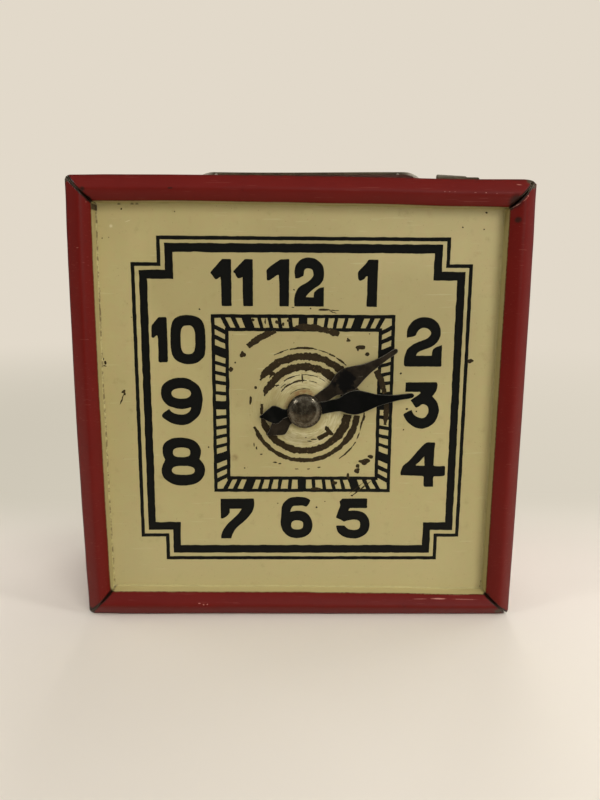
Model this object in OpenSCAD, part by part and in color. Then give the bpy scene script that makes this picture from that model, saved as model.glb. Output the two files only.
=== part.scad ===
// Tin clock coin bank: a square toy clock of printed tin with two loose hands, a strap handle,
// a coin slot in the top and a locked trap door in the back.
// Millimetres. Z is up, X is to the right as the dial is read, and the dial faces -Y.
// The origin is at the middle of the base.

/* [Case] */
// Width and height of the square face, over its rim
face_w = 70; // [60:1:90]
// Distance between the planes of the front and back rims
case_depth = 45; // [38:1:60]
// Thickness of the tin sheet
sheet = 0.35; // [0.25:0.05:0.45]
// Outer bend radius of the body's long corners
corner_r = 1.2; // [0.8:0.1:2]
// Width of the lapped seam under the base
seam_w = 5; // [3:0.5:8]

/* [Rim] */
// Width of the beaded rim
bead_w = 3.7; // [3:0.1:5]
// Height of the bead's ridge above the rim plane
bead_h = 1.2; // [0.6:0.1:1.8]
// Depth of the dial below the rim plane
dial_recess = 2.2; // [1.9:0.1:3]
// Depth of the rim's flat outer wall
rim_wall = 1.6; // [1:0.1:2.5]
// Width of the open mitre slit at each corner, along the rim
mitre_gap = 0.4; // [0.2:0.1:0.8]

/* [Tongues] */
// Width of a folded tongue
tongue_w = 4.6; // [3:0.1:6]
// Distance of a tongue's middle from the middle of its side
tongue_x = 23; // [18:0.1:26]
// Distance of the tongues behind the rim plane
tongue_y = 3.2; // [2.6:0.1:5]
// Length of a tongue after its fold
tongue_l = 2.4; // [1.5:0.1:4]
// Height of the lifted tongue's high part above the face's top edge
lift_h = 0.95; // [0.5:0.05:2]
// Height of the lifted tongue's low step above the face's top edge
lift_step_h = 0.55; // [0.3:0.05:1.5]
// Width of the lifted tongue's low step
lift_step_w = 2; // [1:0.1:3]

/* [Hands] */
// Arbor's offset to the right of the face's middle
hub_dx = 0.75; // [-2:0.05:2]
// Arbor's offset above the face's middle
hub_dz = -0.3; // [-2:0.05:2]
// Radius of the arbor's shank
shank_r = 0.9; // [0.7:0.05:1.2]
// Radius of the arbor's head
head_r = 2.75; // [2.2:0.05:3.2]
// Radius of the domed part of the head
dome_r = 2.45; // [1.8:0.05:2.8]
// Height of the dome above the head's thin edge
dome_h = 0.95; // [0.5:0.05:1.4]
// Thickness of the head's edge
head_edge = 0.22; // [0.15:0.01:0.4]
// Thickness of a hand
hand_t = 0.28; // [0.2:0.01:0.35]
// Thickness of the spacer between the hands
spacer_t = 0.12; // [0.08:0.01:0.2]
// Radius of a hand's round middle
hand_hub_r = 2.3; // [1.8:0.05:2.5]
// Clockwise angle of the front hand from upright
minute_angle = 81.8; // [0:0.1:359.9]
// Clockwise angle of the back hand from upright
hour_angle = 55.3; // [0:0.1:359.9]

/* [Dial boss] */
// Radius of the boss's flat top
boss_top_r = 4; // [3.2:0.1:5]
// Radius of the boss's foot
boss_foot_r = 6; // [5.4:0.1:8]
// Height of the boss above the dial
boss_h = 1; // [0.6:0.1:1.2]

/* [Handle] */
// Height of the handle's top above the top of the face
handle_rise = 3.7; // [3.2:0.1:8]
// Left end of the handle's flat
handle_x0 = -15.2; // [-20:0.1:-10]
// Right end of the handle's flat
handle_x1 = 18.4; // [10:0.1:22]
// Width of the handle's strap
strap_w = 6.5; // [4:0.1:10]
// Width of the tabs at the strap's ends
strap_tab_w = 4; // [2.5:0.1:6]
// Thickness of the strap
strap_t = 0.45; // [0.3:0.05:0.6]
// Length of a tab's clinched end inside the body
clinch_l = 3.2; // [2:0.1:5]

/* [Coin slot] */
// Length of the coin slot
slot_l = 28; // [22:0.5:34]
// Width of the coin slot
slot_w = 2.6; // [2:0.1:3.4]
// Distance of the slot's middle behind the middle of the case
slot_y = 11.5; // [9:0.5:14]

/* [Trap door] */
// Width of the door opening
opening_w = 32; // [26:0.5:40]
// Height of the door opening
opening_h = 34; // [28:0.5:40]
// How far the door laps over the edge of the opening
door_lap = 2; // [1.2:0.1:3]
// Gap between the door and the back panel
door_gap = 0.1; // [0.05:0.01:0.2]
// Outer radius of a hinge knuckle
knuckle_r = 1; // [0.9:0.05:1.1]
// Radius of the hinge wire
pin_r = 0.58; // [0.45:0.01:0.6]
// Number of hinge knuckles
knuckles = 5; // [3:2:7]

/* [Lock] */
// Distance of the lock case's far side from the opening's edge
lock_inset = 1.2; // [1:0.1:1.6]
// Width of the lock case
lock_w = 11; // [10:0.5:13]
// Height of the lock case
lock_h = 14.8; // [14:0.2:18]
// Depth of the lock case
lock_d = 4.5; // [4:0.1:6]
// Thickness of the lock case's sheet
lock_sheet = 0.4; // [0.3:0.05:0.5]
// Height of the lock case's riveted ears
ear_h = 3.2; // [2.8:0.1:4]
// Height of the bolt
bolt_h = 5; // [4.6:0.1:5.4]
// Thickness of the bolt
bolt_t = 1.2; // [0.8:0.1:1.4]
// Travel of the bolt
bolt_travel = 2.8; // [2:0.1:3]
// Radius of the stud that guides the bolt
stud_r = 0.6; // [0.5:0.05:0.7]
// Radius of the key post
post_r = 0.8; // [0.6:0.05:0.9]
// Radius of the keyhole's round part
keyhole_r = 1.75; // [1.5:0.05:2]
// Width of the keyhole's slot
keyhole_slot_w = 1.3; // [1:0.1:1.6]
// Reach of the keyhole's slot below the key post
keyhole_reach = 4.3; // [3.6:0.1:4.4]
// Radius of the escutcheon
escutcheon_r = 5.3; // [5:0.1:5.5]
// Thickness of the escutcheon
escutcheon_t = 0.3; // [0.2:0.05:0.4]
// Radius of a rivet's shank
rivet_r = 0.55; // [0.4:0.05:0.6]
// Radius of a rivet's head
rivet_head_r = 0.95; // [0.8:0.05:1.1]
// Height of a rivet's head
rivet_head_h = 0.4; // [0.3:0.05:0.5]

/* [Hidden] */
$fn = 48;
red = [0.45, 0.13, 0.12];
cream = [0.68, 0.64, 0.45];
bare_tin = [0.55, 0.54, 0.5];
dark_tin = [0.3, 0.27, 0.24];
blued = [0.1, 0.1, 0.11];
brass = [0.7, 0.58, 0.3];

// Clearance round a piece that only sits in its place
seat_gap = 0.03;
// Radial clearance of what turns, and the end play beside it
run_gap = 0.05;
play = 0.06;
// A cut runs this far past the face that it opens
past = 0.5;

// The body lies this far inside the rim, so that the folded tongues stay inside it too
shell_inset = sheet + 3 * seat_gap;
shell_w = face_w - 2 * shell_inset;
// The flanges of the panels lie inside the body's walls
flange_out = shell_inset + sheet + seat_gap;
flange_half = shell_w / 2 - corner_r - 1;
// Clearance round what passes through a slot in the body
slot_gap = 0.15;

// The arbor's stack, front to back, measured from the front rim plane
boss_y = dial_recess - boss_h;
hour_y = boss_y - play - hand_t;
spacer_y = hour_y - play - spacer_t;
minute_y = spacer_y - play - hand_t;
head_y = minute_y - play - head_edge;
spring_y = boss_y + sheet + seat_gap;
spring_h = 0.5;
spring_t = 0.2;
spring_r = 3;
backing_y = spring_y + spring_h + spring_t + seat_gap;
backing_t = 0.35;
backing_r = 2.4;
tail_y = backing_y + backing_t + seat_gap;
tail_r = 1.5;
tail_h = 0.7;

// Half-widths of a hand at distances from its hub: neck, leaf and tip, then neck and leaf of the tail
blade_r = [1.4, 5.5, 6.5, 7.3, 8.1, 9, 10.3, 11.7, 13.3, 15, 17.2];
blade_w = [1, 1.05, 1.52, 1.79, 1.88, 1.74, 1.35, 0.92, 0.66, 0.54, 0.42];
blade_tip = 17.5;
tail_leaf_r = [1.4, 2.6, 3.4, 4.4, 5.5, 6.4];
tail_leaf_w = [0.7, 0.65, 1.1, 1.4, 0.98, 0.36];
tail_leaf_tip = 7;
curve_steps = 4;

// The handle's ends bend down through a quarter circle and stand on the body
handle_top = face_w + handle_rise;
shell_top = face_w - shell_inset;
bend_r = handle_top - shell_top;
roof_under = shell_top - sheet;

// The back is measured from the back rim plane inwards
door_in = dial_recess - door_gap;
door_out = door_in - sheet;
axis_y = door_in - knuckle_r;
door_z = face_w / 2;
door_h = opening_h + 2 * door_lap;
free_x = -opening_w / 2 - door_lap;
plate_back = knuckle_r + 0.3;
hinge_x = opening_w / 2 + door_lap + 0.1 + plate_back;
knuckle_gap = 0.25;
knuckle_len = (door_h - (knuckles - 1) * knuckle_gap) / knuckles;

// The lock lies on the inside of the door. Its spring has the room over the bolt.
spring_room = 1.4;
bolt_nose = 0.4;
bolt_tail_gap = 0.8;
panel_gap = 0.25;
lock_x = -opening_w / 2 + lock_inset;
lock_z = door_z;
lock_back = door_in + lock_d;
bolt_y = dial_recess + sheet + panel_gap;
bolt_top = lock_z + lock_h / 2 - lock_sheet - spring_room;
bolt_tip = lock_x - bolt_nose;
bolt_tail = lock_x + lock_w - lock_sheet - bolt_tail_gap;
bolt_slot_gap = 0.1;
stud_x = lock_x + 4.8;
stud_z = bolt_top - 1.75;
post_x = lock_x + 5.5;
post_z = bolt_top - bolt_h - 3.1;
upset_h = 0.4;
upset_wider = 0.5;
talon_w = 2.4;
talon_h = 1.6;
escutcheon_z = post_z - 1.3;
escutcheon_rivet_x = 3.8;
ear_rivet_z = lock_h / 2 + ear_h / 2 + 0.1;
ear_rivet_x = lock_w / 2 - 2.2;
spring_leaf_t = 0.2;
spring_leaf_l = 8;

// Smooth curve through four neighbouring values
function smooth4(p, q, r, s, t) =
    ((2 * p - 5 * q + 4 * r - s) * t * t + (-p + r) * t + 2 * q + (-p + 3 * q - 3 * r + s) * t * t * t) / 2;
function at(v, i) = v[max(0, min(len(v) - 1, i))];
function smooth_through(v) = concat(
    [for (i = [0:len(v) - 2]) for (k = [0:curve_steps - 1])
        smooth4(at(v, i - 1), v[i], v[i + 1], at(v, i + 2), k / curve_steps)],
    [v[len(v) - 1]]);
function leaf(r, w, tip) =
    let (rr = smooth_through(r), ww = smooth_through(w))
    concat([for (i = [0:len(rr) - 1]) [ww[i], rr[i]]], [[0, tip]],
           [for (i = [len(rr) - 1:-1:0]) [-ww[i], rr[i]]]);

// Places its children behind the front rim plane, or inside the back rim plane
module at_front() {
    translate([0, -case_depth / 2, 0]) children();
}

module at_back() {
    translate([0, case_depth / 2, 0]) mirror([0, 1, 0]) children();
}

// A flat outline drawn in X and Z, from depth y and t thick
module slab(y, t) {
    translate([0, y + t, 0]) rotate([90, 0, 0]) linear_extrude(t) children();
}

// A disc or ring of the arbor's stack
module disc(y, t, r, bore = 0) {
    slab(y, t) difference() {
        circle(r);
        if (bore > 0) circle(bore);
    }
}

module at_hub() {
    translate([hub_dx, 0, face_w / 2 + hub_dz]) children();
}

// A spherical cap of base radius r and height h, whose base lies at depth y and which rises forwards
module cap(y, r, h) {
    ball_r = (r * r + h * h) / (2 * h);
    translate([0, y, 0]) rotate([90, 0, 0]) rotate_extrude() intersection() {
        translate([0, h - ball_r]) circle(ball_r);
        square([r, h]);
    }
}

module rounded_square(w, r) {
    square([w - 2 * r, w], center = true);
    square([w, w - 2 * r], center = true);
    for (x = [-1, 1]) for (z = [-1, 1]) translate([x * (w / 2 - r), z * (w / 2 - r)]) circle(r);
}

// Section of the lower rim bar in Y and Z: outer wall, bead, riser, and the flange behind the wall
module rim_section() {
    bead_r = (bead_w * bead_w / 4 + bead_h * bead_h) / (2 * bead_h);
    intersection() {
        translate([bead_r - bead_h, bead_w / 2]) difference() {
            circle(bead_r);
            circle(bead_r - sheet);
        }
        translate([-bead_h, 0]) square([bead_h + sheet / 2, bead_w]);
    }
    square([rim_wall, sheet]);
    translate([0, bead_w - sheet]) square([dial_recess + sheet, sheet]);
    translate([rim_wall - sheet, 0]) square([sheet, flange_out + sheet]);
}

// A tongue of the lower bar: a leg out through the body's wall, folded back along its outside
module folded_tongue() {
    outer = shell_inset - seat_gap - sheet;
    translate([-tongue_w / 2, tongue_y, outer]) cube([tongue_w, sheet, flange_out + sheet - outer]);
    translate([-tongue_w / 2, tongue_y, outer]) cube([tongue_w, tongue_l, sheet]);
}

// The tongue that has sprung up: it stands on edge, and its corner is cut down to a low step
module lifted_tongue() {
    high = lift_h + sheet;
    low = lift_step_h + sheet;
    x0 = tongue_x - tongue_w / 2;
    foot = face_w - flange_out - sheet;
    translate([x0, tongue_y, foot]) cube([tongue_w, sheet, face_w + high - sheet - foot]);
    translate([x0, tongue_y, foot]) cube([tongue_w + lift_step_w, sheet, face_w + low - sheet - foot]);
}

// The four rim bars with their mitres and flanges. The lifted tongue replaces the top right one.
module pressed_rim(lifted) {
    centre = face_w / 2;
    for (a = [0:90:270]) translate([0, 0, centre]) rotate([0, a, 0]) translate([0, 0, -centre]) {
        intersection() {
            translate([-centre, 0, 0]) rotate([90, 0, 90]) linear_extrude(face_w) rim_section();
            slab(-2 * bead_h, 2 * bead_h + dial_recess + 2 * sheet)
                polygon([[mitre_gap - centre, 0], [centre - mitre_gap, 0], [0, centre - mitre_gap]]);
        }
        translate([-flange_half, rim_wall - sheet, flange_out])
            cube([2 * flange_half, tongue_y - rim_wall + 2 * sheet, sheet]);
        for (side = [-1, 1])
            if (!(lifted && a == 180 && side == -1)) translate([side * tongue_x, 0, 0]) folded_tongue();
    }
    if (lifted) lifted_tongue();
}

// Flat sheet between the risers
module recessed_plate() {
    translate([bead_w - sheet - face_w / 2, dial_recess, bead_w - sheet])
        cube([face_w - 2 * (bead_w - sheet), sheet, face_w - 2 * (bead_w - sheet)]);
}

// The raised boss under the hands, as a shell of the same sheet with the arbor's hole
module boss() {
    hole_r = shank_r + seat_gap;
    translate([0, dial_recess, 0]) rotate([90, 0, 0]) rotate_extrude() polygon([
        [hole_r, boss_h], [boss_top_r, boss_h], [boss_foot_r, 0], [boss_foot_r, -sheet],
        [boss_foot_r - 0.4 * sheet, -sheet], [boss_top_r - 0.4 * sheet, boss_h - sheet],
        [hole_r, boss_h - sheet]]);
}

module front_panel() {
    color(cream) at_front() {
        difference() {
            union() {
                pressed_rim(true);
                recessed_plate();
            }
            at_hub() disc(dial_recess - past, sheet + 2 * past, boss_foot_r);
        }
        at_hub() boss();
    }
}

// The slots for one panel's tongues, measured like the panel itself
module tongue_slots(lifted) {
    centre = face_w / 2;
    slot_t = sheet + 2 * slot_gap;
    for (a = [0:90:270]) translate([0, 0, centre]) rotate([0, a, 0]) translate([0, 0, -centre])
        for (side = [-1, 1]) {
            extra = (lifted && a == 180 && side == -1) ? lift_step_w : 0;
            translate([side * tongue_x - tongue_w / 2 - slot_gap - extra, tongue_y - slot_gap,
                       shell_inset - past])
                cube([tongue_w + 2 * slot_gap + extra, slot_t, sheet + 2 * past]);
        }
}

module coin_slot() {
    round_x = (slot_l - slot_w) / 2;
    translate([0, slot_y, roof_under - past]) linear_extrude(sheet + 2 * past) {
        square([2 * round_x, slot_w], center = true);
        for (side = [-1, 1]) translate([side * round_x, 0]) circle(slot_w / 2);
    }
}

module handle_slots() {
    for (x = [handle_x0 - bend_r, handle_x1 + bend_r - strap_t])
        translate([x - seat_gap, -strap_tab_w / 2 - slot_gap, roof_under - past])
            cube([strap_t + 2 * seat_gap, strap_tab_w + 2 * slot_gap, sheet + 2 * past]);
}

module body_shell() {
    front_y = rim_wall + seat_gap;
    length = case_depth - 2 * front_y;
    color(red) difference() {
        union() {
            translate([0, 0, face_w / 2]) slab(-length / 2, length) difference() {
                rounded_square(shell_w, corner_r);
                rounded_square(shell_w - 2 * sheet, corner_r - sheet);
            }
            seam_lap(length);
        }
        at_front() tongue_slots(true);
        at_back() tongue_slots(false);
        coin_slot();
        handle_slots();
        seam_line(length);
    }
}

// The inner lap of the seam stops short of both panels' flanges
module seam_lap(length) {
    lap_length = length - 2 * (tongue_y + 2 * sheet);
    translate([-seam_w / 2, -lap_length / 2, shell_inset + sheet - seat_gap])
        cube([seam_w, lap_length, sheet + seat_gap]);
}

// The edge of the outer lap, a fine step along the base
module seam_line(length) {
    step_w = 0.25;
    translate([seam_w / 2 - step_w, -length / 2 - past, shell_inset - past])
        cube([step_w, length + 2 * past, past + sheet / 2]);
}

// Three hinge knuckles of the panel and two of the door: every second one is the door's
module hinge_knuckles(first, leg_x, leg_y, leg_to) {
    for (i = [first:2:knuckles - 1])
        translate([hinge_x, axis_y, door_z - door_h / 2 + i * (knuckle_len + knuckle_gap)]) {
            difference() {
                cylinder(r = knuckle_r, h = knuckle_len);
                translate([0, 0, -past]) cylinder(r = pin_r + run_gap, h = knuckle_len + 2 * past);
            }
            translate([leg_x, leg_y, 0]) cube([leg_to[0] - leg_x, leg_to[1] - leg_y, knuckle_len]);
        }
}

module back_panel() {
    color(red) at_back() {
        difference() {
            union() {
                pressed_rim(false);
                recessed_plate();
            }
            translate([-opening_w / 2, dial_recess - past, door_z - opening_h / 2])
                cube([opening_w, sheet + 2 * past, opening_h]);
        }
        // Each leg runs straight from the panel to the outer side of its knuckle
        hinge_knuckles(0, knuckle_r - sheet, 0, [knuckle_r, dial_recess + sheet / 2 - axis_y]);
    }
}

module strap_handle() {
    color(bare_tin) {
        slab(-strap_w / 2, strap_w) difference() {
            strap_outline(bend_r);
            strap_outline(bend_r - strap_t);
        }
        // Narrow tabs go through the roof and are clinched flat under it
        for (end = [[handle_x0 - bend_r, 0], [handle_x1 + bend_r - strap_t, strap_t - clinch_l]]) {
            translate([end[0], -strap_tab_w / 2, roof_under - seat_gap - strap_t])
                cube([strap_t, strap_tab_w, shell_top + 2 * seat_gap - roof_under + strap_t]);
            translate([end[0] + end[1], -strap_tab_w / 2, roof_under - seat_gap - strap_t])
                cube([clinch_l, strap_tab_w, strap_t]);
        }
    }
}

// Everything under the strap's bend of radius r, down to the roof
module strap_outline(r) {
    foot = shell_top + seat_gap;
    intersection() {
        union() {
            for (x = [handle_x0, handle_x1]) translate([x, shell_top]) circle(r);
            translate([handle_x0, foot]) square([handle_x1 - handle_x0, r + shell_top - foot]);
        }
        translate([handle_x0 - r, foot]) square([handle_x1 - handle_x0 + 2 * r, r]);
    }
}

module hand_arbor() {
    color(dark_tin) at_front() at_hub() {
        disc(head_y, head_edge, head_r);
        cap(head_y, dome_r, dome_h);
        disc(head_y, tail_y - head_y + tail_h / 2, shank_r);
        disc(tail_y, tail_h / 2, tail_r);
        mirror([0, 1, 0]) cap(-tail_y - tail_h / 2, tail_r, tail_h / 2);
    }
}

// One hand, pointing up before it is turned to its angle
module hand(y, angle) {
    at_front() at_hub() rotate([0, angle, 0]) difference() {
        union() {
            disc(y, hand_t, hand_hub_r);
            slab(y, hand_t) polygon(concat(
                leaf(blade_r, blade_w, blade_tip),
                [for (p = leaf(tail_leaf_r, tail_leaf_w, tail_leaf_tip)) -p]));
        }
        disc(y - past, hand_t + 2 * past, shank_r + run_gap);
    }
}

module minute_hand() {
    color(blued) hand(minute_y, minute_angle);
}

module hour_hand() {
    color(blued) hand(hour_y, hour_angle);
}

module hand_spacer() {
    color(brass) at_front() at_hub() disc(spacer_y, spacer_t, hand_hub_r - 0.3, shank_r + seat_gap);
}

// A dished washer: its rim bears on the boss and its middle on the backing washer
module hand_spring_washer() {
    bore = shank_r + seat_gap;
    color(bare_tin) at_front() at_hub() translate([0, spring_y, 0]) rotate([-90, 0, 0]) rotate_extrude()
        polygon([[bore, spring_h], [spring_r, 0], [spring_r, spring_t], [bore, spring_h + spring_t]]);
}

module hand_backing_washer() {
    color(bare_tin) at_front() at_hub() disc(backing_y, backing_t, backing_r, shank_r + seat_gap);
}

// Round hole for the key with a slot below it for the bit
module keyhole() {
    translate([post_x, post_z]) circle(keyhole_r);
    translate([post_x - keyhole_slot_w / 2, post_z - keyhole_reach]) square([keyhole_slot_w, keyhole_reach]);
}

module at_escutcheon_rivets() {
    for (side = [-1, 1]) translate([post_x + side * escutcheon_rivet_x, 0, escutcheon_z]) children();
}

module at_ear_rivets() {
    for (x = [-1, 1]) for (z = [-1, 1])
        translate([lock_x + lock_w / 2 + x * ear_rivet_x, 0, lock_z + z * ear_rivet_z]) children();
}

module trap_door() {
    plate_x1 = hinge_x - plate_back;
    color(red) at_back() {
        difference() {
            translate([free_x, door_out, door_z - door_h / 2]) cube([plate_x1 - free_x, sheet, door_h]);
            slab(door_out - past, sheet + 2 * past) keyhole();
            at_escutcheon_rivets() disc(door_out - past, sheet + 2 * past, rivet_r + seat_gap);
            at_ear_rivets() disc(door_out - past, sheet + 2 * past, rivet_r + seat_gap);
        }
        // Each leg joins the plate to the inner side of its knuckle
        hinge_knuckles(1, -plate_back, knuckle_r - sheet, [0, knuckle_r]);
    }
}

module door_hinge_pin() {
    end = 0.4;
    color(bare_tin) at_back() translate([hinge_x, axis_y, door_z - door_h / 2 - end])
        cylinder(r = pin_r, h = door_h + 2 * end);
}

module keyhole_escutcheon() {
    color(brass) at_back() difference() {
        translate([post_x, 0, escutcheon_z]) disc(door_out - escutcheon_t, escutcheon_t, escutcheon_r);
        slab(door_out - escutcheon_t - past, escutcheon_t + 2 * past) keyhole();
        at_escutcheon_rivets()
            disc(door_out - escutcheon_t - past, escutcheon_t + 2 * past, rivet_r + seat_gap);
    }
}

// A rivet through plates from depth y to depth y + grip, with a domed head outside and a flat one inside
module rivet(y, grip) {
    cap(y - seat_gap, rivet_head_r, rivet_head_h);
    disc(y - seat_gap, grip + 3 * seat_gap, rivet_r);
    disc(y + grip + seat_gap, 0.75 * rivet_head_h, rivet_head_r);
}

module escutcheon_rivets() {
    color(brass) at_back() at_escutcheon_rivets() rivet(door_out - escutcheon_t, escutcheon_t + sheet);
}

module lock_case() {
    inner_x = lock_x + lock_sheet;
    bottom = lock_z - lock_h / 2;
    color(bare_tin) at_back() difference() {
        union() {
            translate([lock_x, door_in, bottom]) cube([lock_w, lock_d, lock_h]);
            translate([lock_x, door_in, bottom - ear_h]) cube([lock_w, lock_sheet, lock_h + 2 * ear_h]);
        }
        translate([inner_x, door_in - past, bottom + lock_sheet])
            cube([lock_w - 2 * lock_sheet, lock_d - lock_sheet + past, lock_h - 2 * lock_sheet]);
        // The bolt comes out through the near side of the case
        translate([lock_x - past, bolt_y - bolt_slot_gap, bolt_top - bolt_h - bolt_slot_gap])
            cube([lock_sheet + 2 * past, bolt_t + 2 * bolt_slot_gap, bolt_h + 2 * bolt_slot_gap]);
        at_ear_rivets() disc(door_in - past, lock_sheet + 2 * past, rivet_r + seat_gap);
        for (p = [[stud_x, stud_z, stud_r], [post_x, post_z, post_r]]) translate([p[0], 0, p[1]])
            disc(lock_back - lock_sheet - past, lock_sheet + 2 * past, p[2] + seat_gap);
    }
}

module lock_case_rivets() {
    color(bare_tin) at_back() at_ear_rivets() rivet(door_out, sheet + lock_sheet);
}

// Drawn back at rest: its tip is clear of the opening, and its slot stands at the near end of the stud
module lock_bolt() {
    slot_r = stud_r + run_gap;
    color(bare_tin) at_back() slab(bolt_y, bolt_t) difference() {
        translate([bolt_tip, bolt_top - bolt_h]) square([bolt_tail - bolt_tip, bolt_h]);
        for (x = [0, bolt_travel]) translate([stud_x + x, stud_z]) circle(slot_r);
        translate([stud_x, stud_z - slot_r]) square([bolt_travel, 2 * slot_r]);
        translate([post_x - talon_w / 2, bolt_top - bolt_h - past]) square([talon_w, talon_h + past]);
    }
}

// A post through the lock case's back: shank, collar and an upset head outside the case
module upset_post(x, z, r, y, collar_r, collar_y) {
    inner = lock_back - lock_sheet - seat_gap;
    translate([x, 0, z]) {
        disc(y, lock_back + seat_gap + upset_h / 2 - y, r);
        disc(collar_y, inner - collar_y, collar_r);
        disc(lock_back + seat_gap, upset_h, r + upset_wider);
    }
}

module bolt_guide_stud() {
    head_front = dial_recess + run_gap;
    head_r = stud_r + 0.4;
    collar_r = stud_r + 0.5;
    color(bare_tin) at_back() {
        upset_post(stud_x, stud_z, stud_r, head_front, collar_r, bolt_y + bolt_t + run_gap);
        translate([stud_x, 0, stud_z]) disc(head_front, bolt_y - run_gap - head_front, head_r);
    }
}

module key_post() {
    collar_r = post_r + 0.4;
    collar_h = 0.5;
    color(brass) at_back()
        upset_post(post_x, post_z, post_r, door_out + door_gap, collar_r, lock_back - lock_sheet - collar_h);
}

// A bowed strip between the lock case's roof and the bolt's top edge
module lock_spring() {
    top = lock_z + lock_h / 2 - lock_sheet - seat_gap;
    sag = top - bolt_top - run_gap - spring_leaf_t;
    bow_r = (spring_leaf_l * spring_leaf_l / 4 + sag * sag) / (2 * sag);
    middle = lock_x + lock_w / 2;
    color(dark_tin) at_back() slab(bolt_y, bolt_t) intersection() {
        translate([middle, bolt_top + run_gap + bow_r + spring_leaf_t]) difference() {
            circle(bow_r + spring_leaf_t, $fn = 96);
            circle(bow_r, $fn = 96);
        }
        translate([middle - spring_leaf_l / 2, bolt_top]) square([spring_leaf_l, top - bolt_top]);
    }
}

front_panel();
body_shell();
back_panel();
strap_handle();
hand_arbor();
minute_hand();
hour_hand();
hand_spacer();
hand_spring_washer();
hand_backing_washer();
trap_door();
door_hinge_pin();
keyhole_escutcheon();
escutcheon_rivets();
lock_case();
lock_case_rivets();
lock_bolt();
bolt_guide_stud();
lock_spring();
key_post();
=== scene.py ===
import math
import bmesh
import bpy
from mathutils import Matrix, Vector, noise
from mathutils.geometry import delaunay_2d_cdt


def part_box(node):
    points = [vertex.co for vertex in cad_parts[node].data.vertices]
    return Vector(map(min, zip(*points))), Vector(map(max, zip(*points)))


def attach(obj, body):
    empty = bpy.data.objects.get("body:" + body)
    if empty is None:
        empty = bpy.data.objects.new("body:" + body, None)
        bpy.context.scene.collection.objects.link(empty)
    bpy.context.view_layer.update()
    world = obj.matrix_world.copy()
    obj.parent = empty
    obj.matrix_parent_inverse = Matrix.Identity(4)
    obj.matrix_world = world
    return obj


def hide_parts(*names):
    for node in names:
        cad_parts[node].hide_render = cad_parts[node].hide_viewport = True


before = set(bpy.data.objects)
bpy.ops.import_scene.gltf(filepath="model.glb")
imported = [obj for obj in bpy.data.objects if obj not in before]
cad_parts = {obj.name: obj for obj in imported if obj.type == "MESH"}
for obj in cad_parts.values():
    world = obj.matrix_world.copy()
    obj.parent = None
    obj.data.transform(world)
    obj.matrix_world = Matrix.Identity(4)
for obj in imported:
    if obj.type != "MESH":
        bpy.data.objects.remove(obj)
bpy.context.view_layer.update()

# Lengths are in millimetres, apart from those of the lamps and the floor, which are in metres
MM = 0.001
FACE_W = 70.0
FACE_MID = FACE_W / 2
CASE_DEPTH = 45.0
SHEET = 0.35
BEAD_W = 3.7
BEAD_H = 1.2
RIDGE_SOFT = 0.22
FLANK_BULGE = 0.4
DIAL_RECESS = 2.2
RIM_WALL = 1.6
FLANGE_OUT = 0.82
FLANGE_HALF = 32.4
TONGUE_W = 4.6
TONGUE_X = 23.0
TONGUE_Y = 3.2
TONGUE_L = 2.4
LIFT_H = 0.95
LIFT_STEP_H = 0.7
LIFT_STEP_W = 2.0
HUB = (0.75, 34.7)
BOSS_TOP_R = 4.0
BOSS_FOOT_R = 6.0
BOSS_H = 1.0
SHANK_R = 0.9
PANEL_PLAY = 0.03
HAND_PLAY = 0.05
HAND_SHEET = 0.28
HAND_DISC_R = 2.3
WELD = 0.002
FRONT_Y = -CASE_DEPTH / 2

# Paints on the dial, in the order of the front panel's material slots
CREAM, INK, RUST, RIM = range(4)


def srgb(red, green, blue):
    """Linear colour from sRGB values of 0 to 255."""
    return tuple(((v / 255 + 0.055) / 1.055) ** 2.4 if v > 10 else v / 255 / 12.92
                 for v in (red, green, blue)) + (1.0,)


def rows(text):
    """Tuples from text. Commas join the numbers of a tuple, and spaces part the tuples."""
    return [tuple(float(v) for v in row.split(",")) for row in text.split()]


def lerp(a, b, t):
    return a + (b - a) * t


def ease(lo, hi, value):
    """0 below lo, 1 above hi, and a smooth step between."""
    t = min(1.0, max(0.0, (value - lo) / (hi - lo)))
    return t * t * (3 - 2 * t)


def wobble(x, z, pitch, seed):
    """Smooth noise from about -1 to 1 that changes over about pitch."""
    return noise.noise(Vector((x / pitch, z / pitch, seed * 7.31))) * 1.6


# Materials

class Value:
    """An output of a node. Sums with it add Math nodes, and [key] is another output of the same node.
    The larger of two values is a | b."""

    def __init__(self, look, node, key=0):
        self.look = look
        self.node = node
        self.socket = node.outputs[key]

    def __getitem__(self, key):
        return Value(self.look, self.node, key)

    def __add__(self, other):
        return self.look.math("ADD", self, other)

    def __sub__(self, other):
        return self.look.math("SUBTRACT", self, other)

    def __mul__(self, other):
        return self.look.math("MULTIPLY", self, other)

    def __truediv__(self, other):
        return self.look.math("DIVIDE", self, other)

    def __or__(self, other):
        return self.look.math("MAXIMUM", self, other)

    def __rsub__(self, other):
        return self.look.math("SUBTRACT", other, self)

    def __abs__(self):
        return self.look.math("ABSOLUTE", self)

    def step(self, lo, hi):
        """0 where the value is under lo, 1 where it is over hi."""
        return self.look.add("MapRange", {"Value": self, "From Min": lo, "From Max": hi},
                             interpolation_type="SMOOTHSTEP")

    def band(self, low, high, soft):
        """1 where the value is between low and high, with soft ends."""
        return self.step(low - soft, low) * (1 - self.step(high, high + soft))


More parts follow.
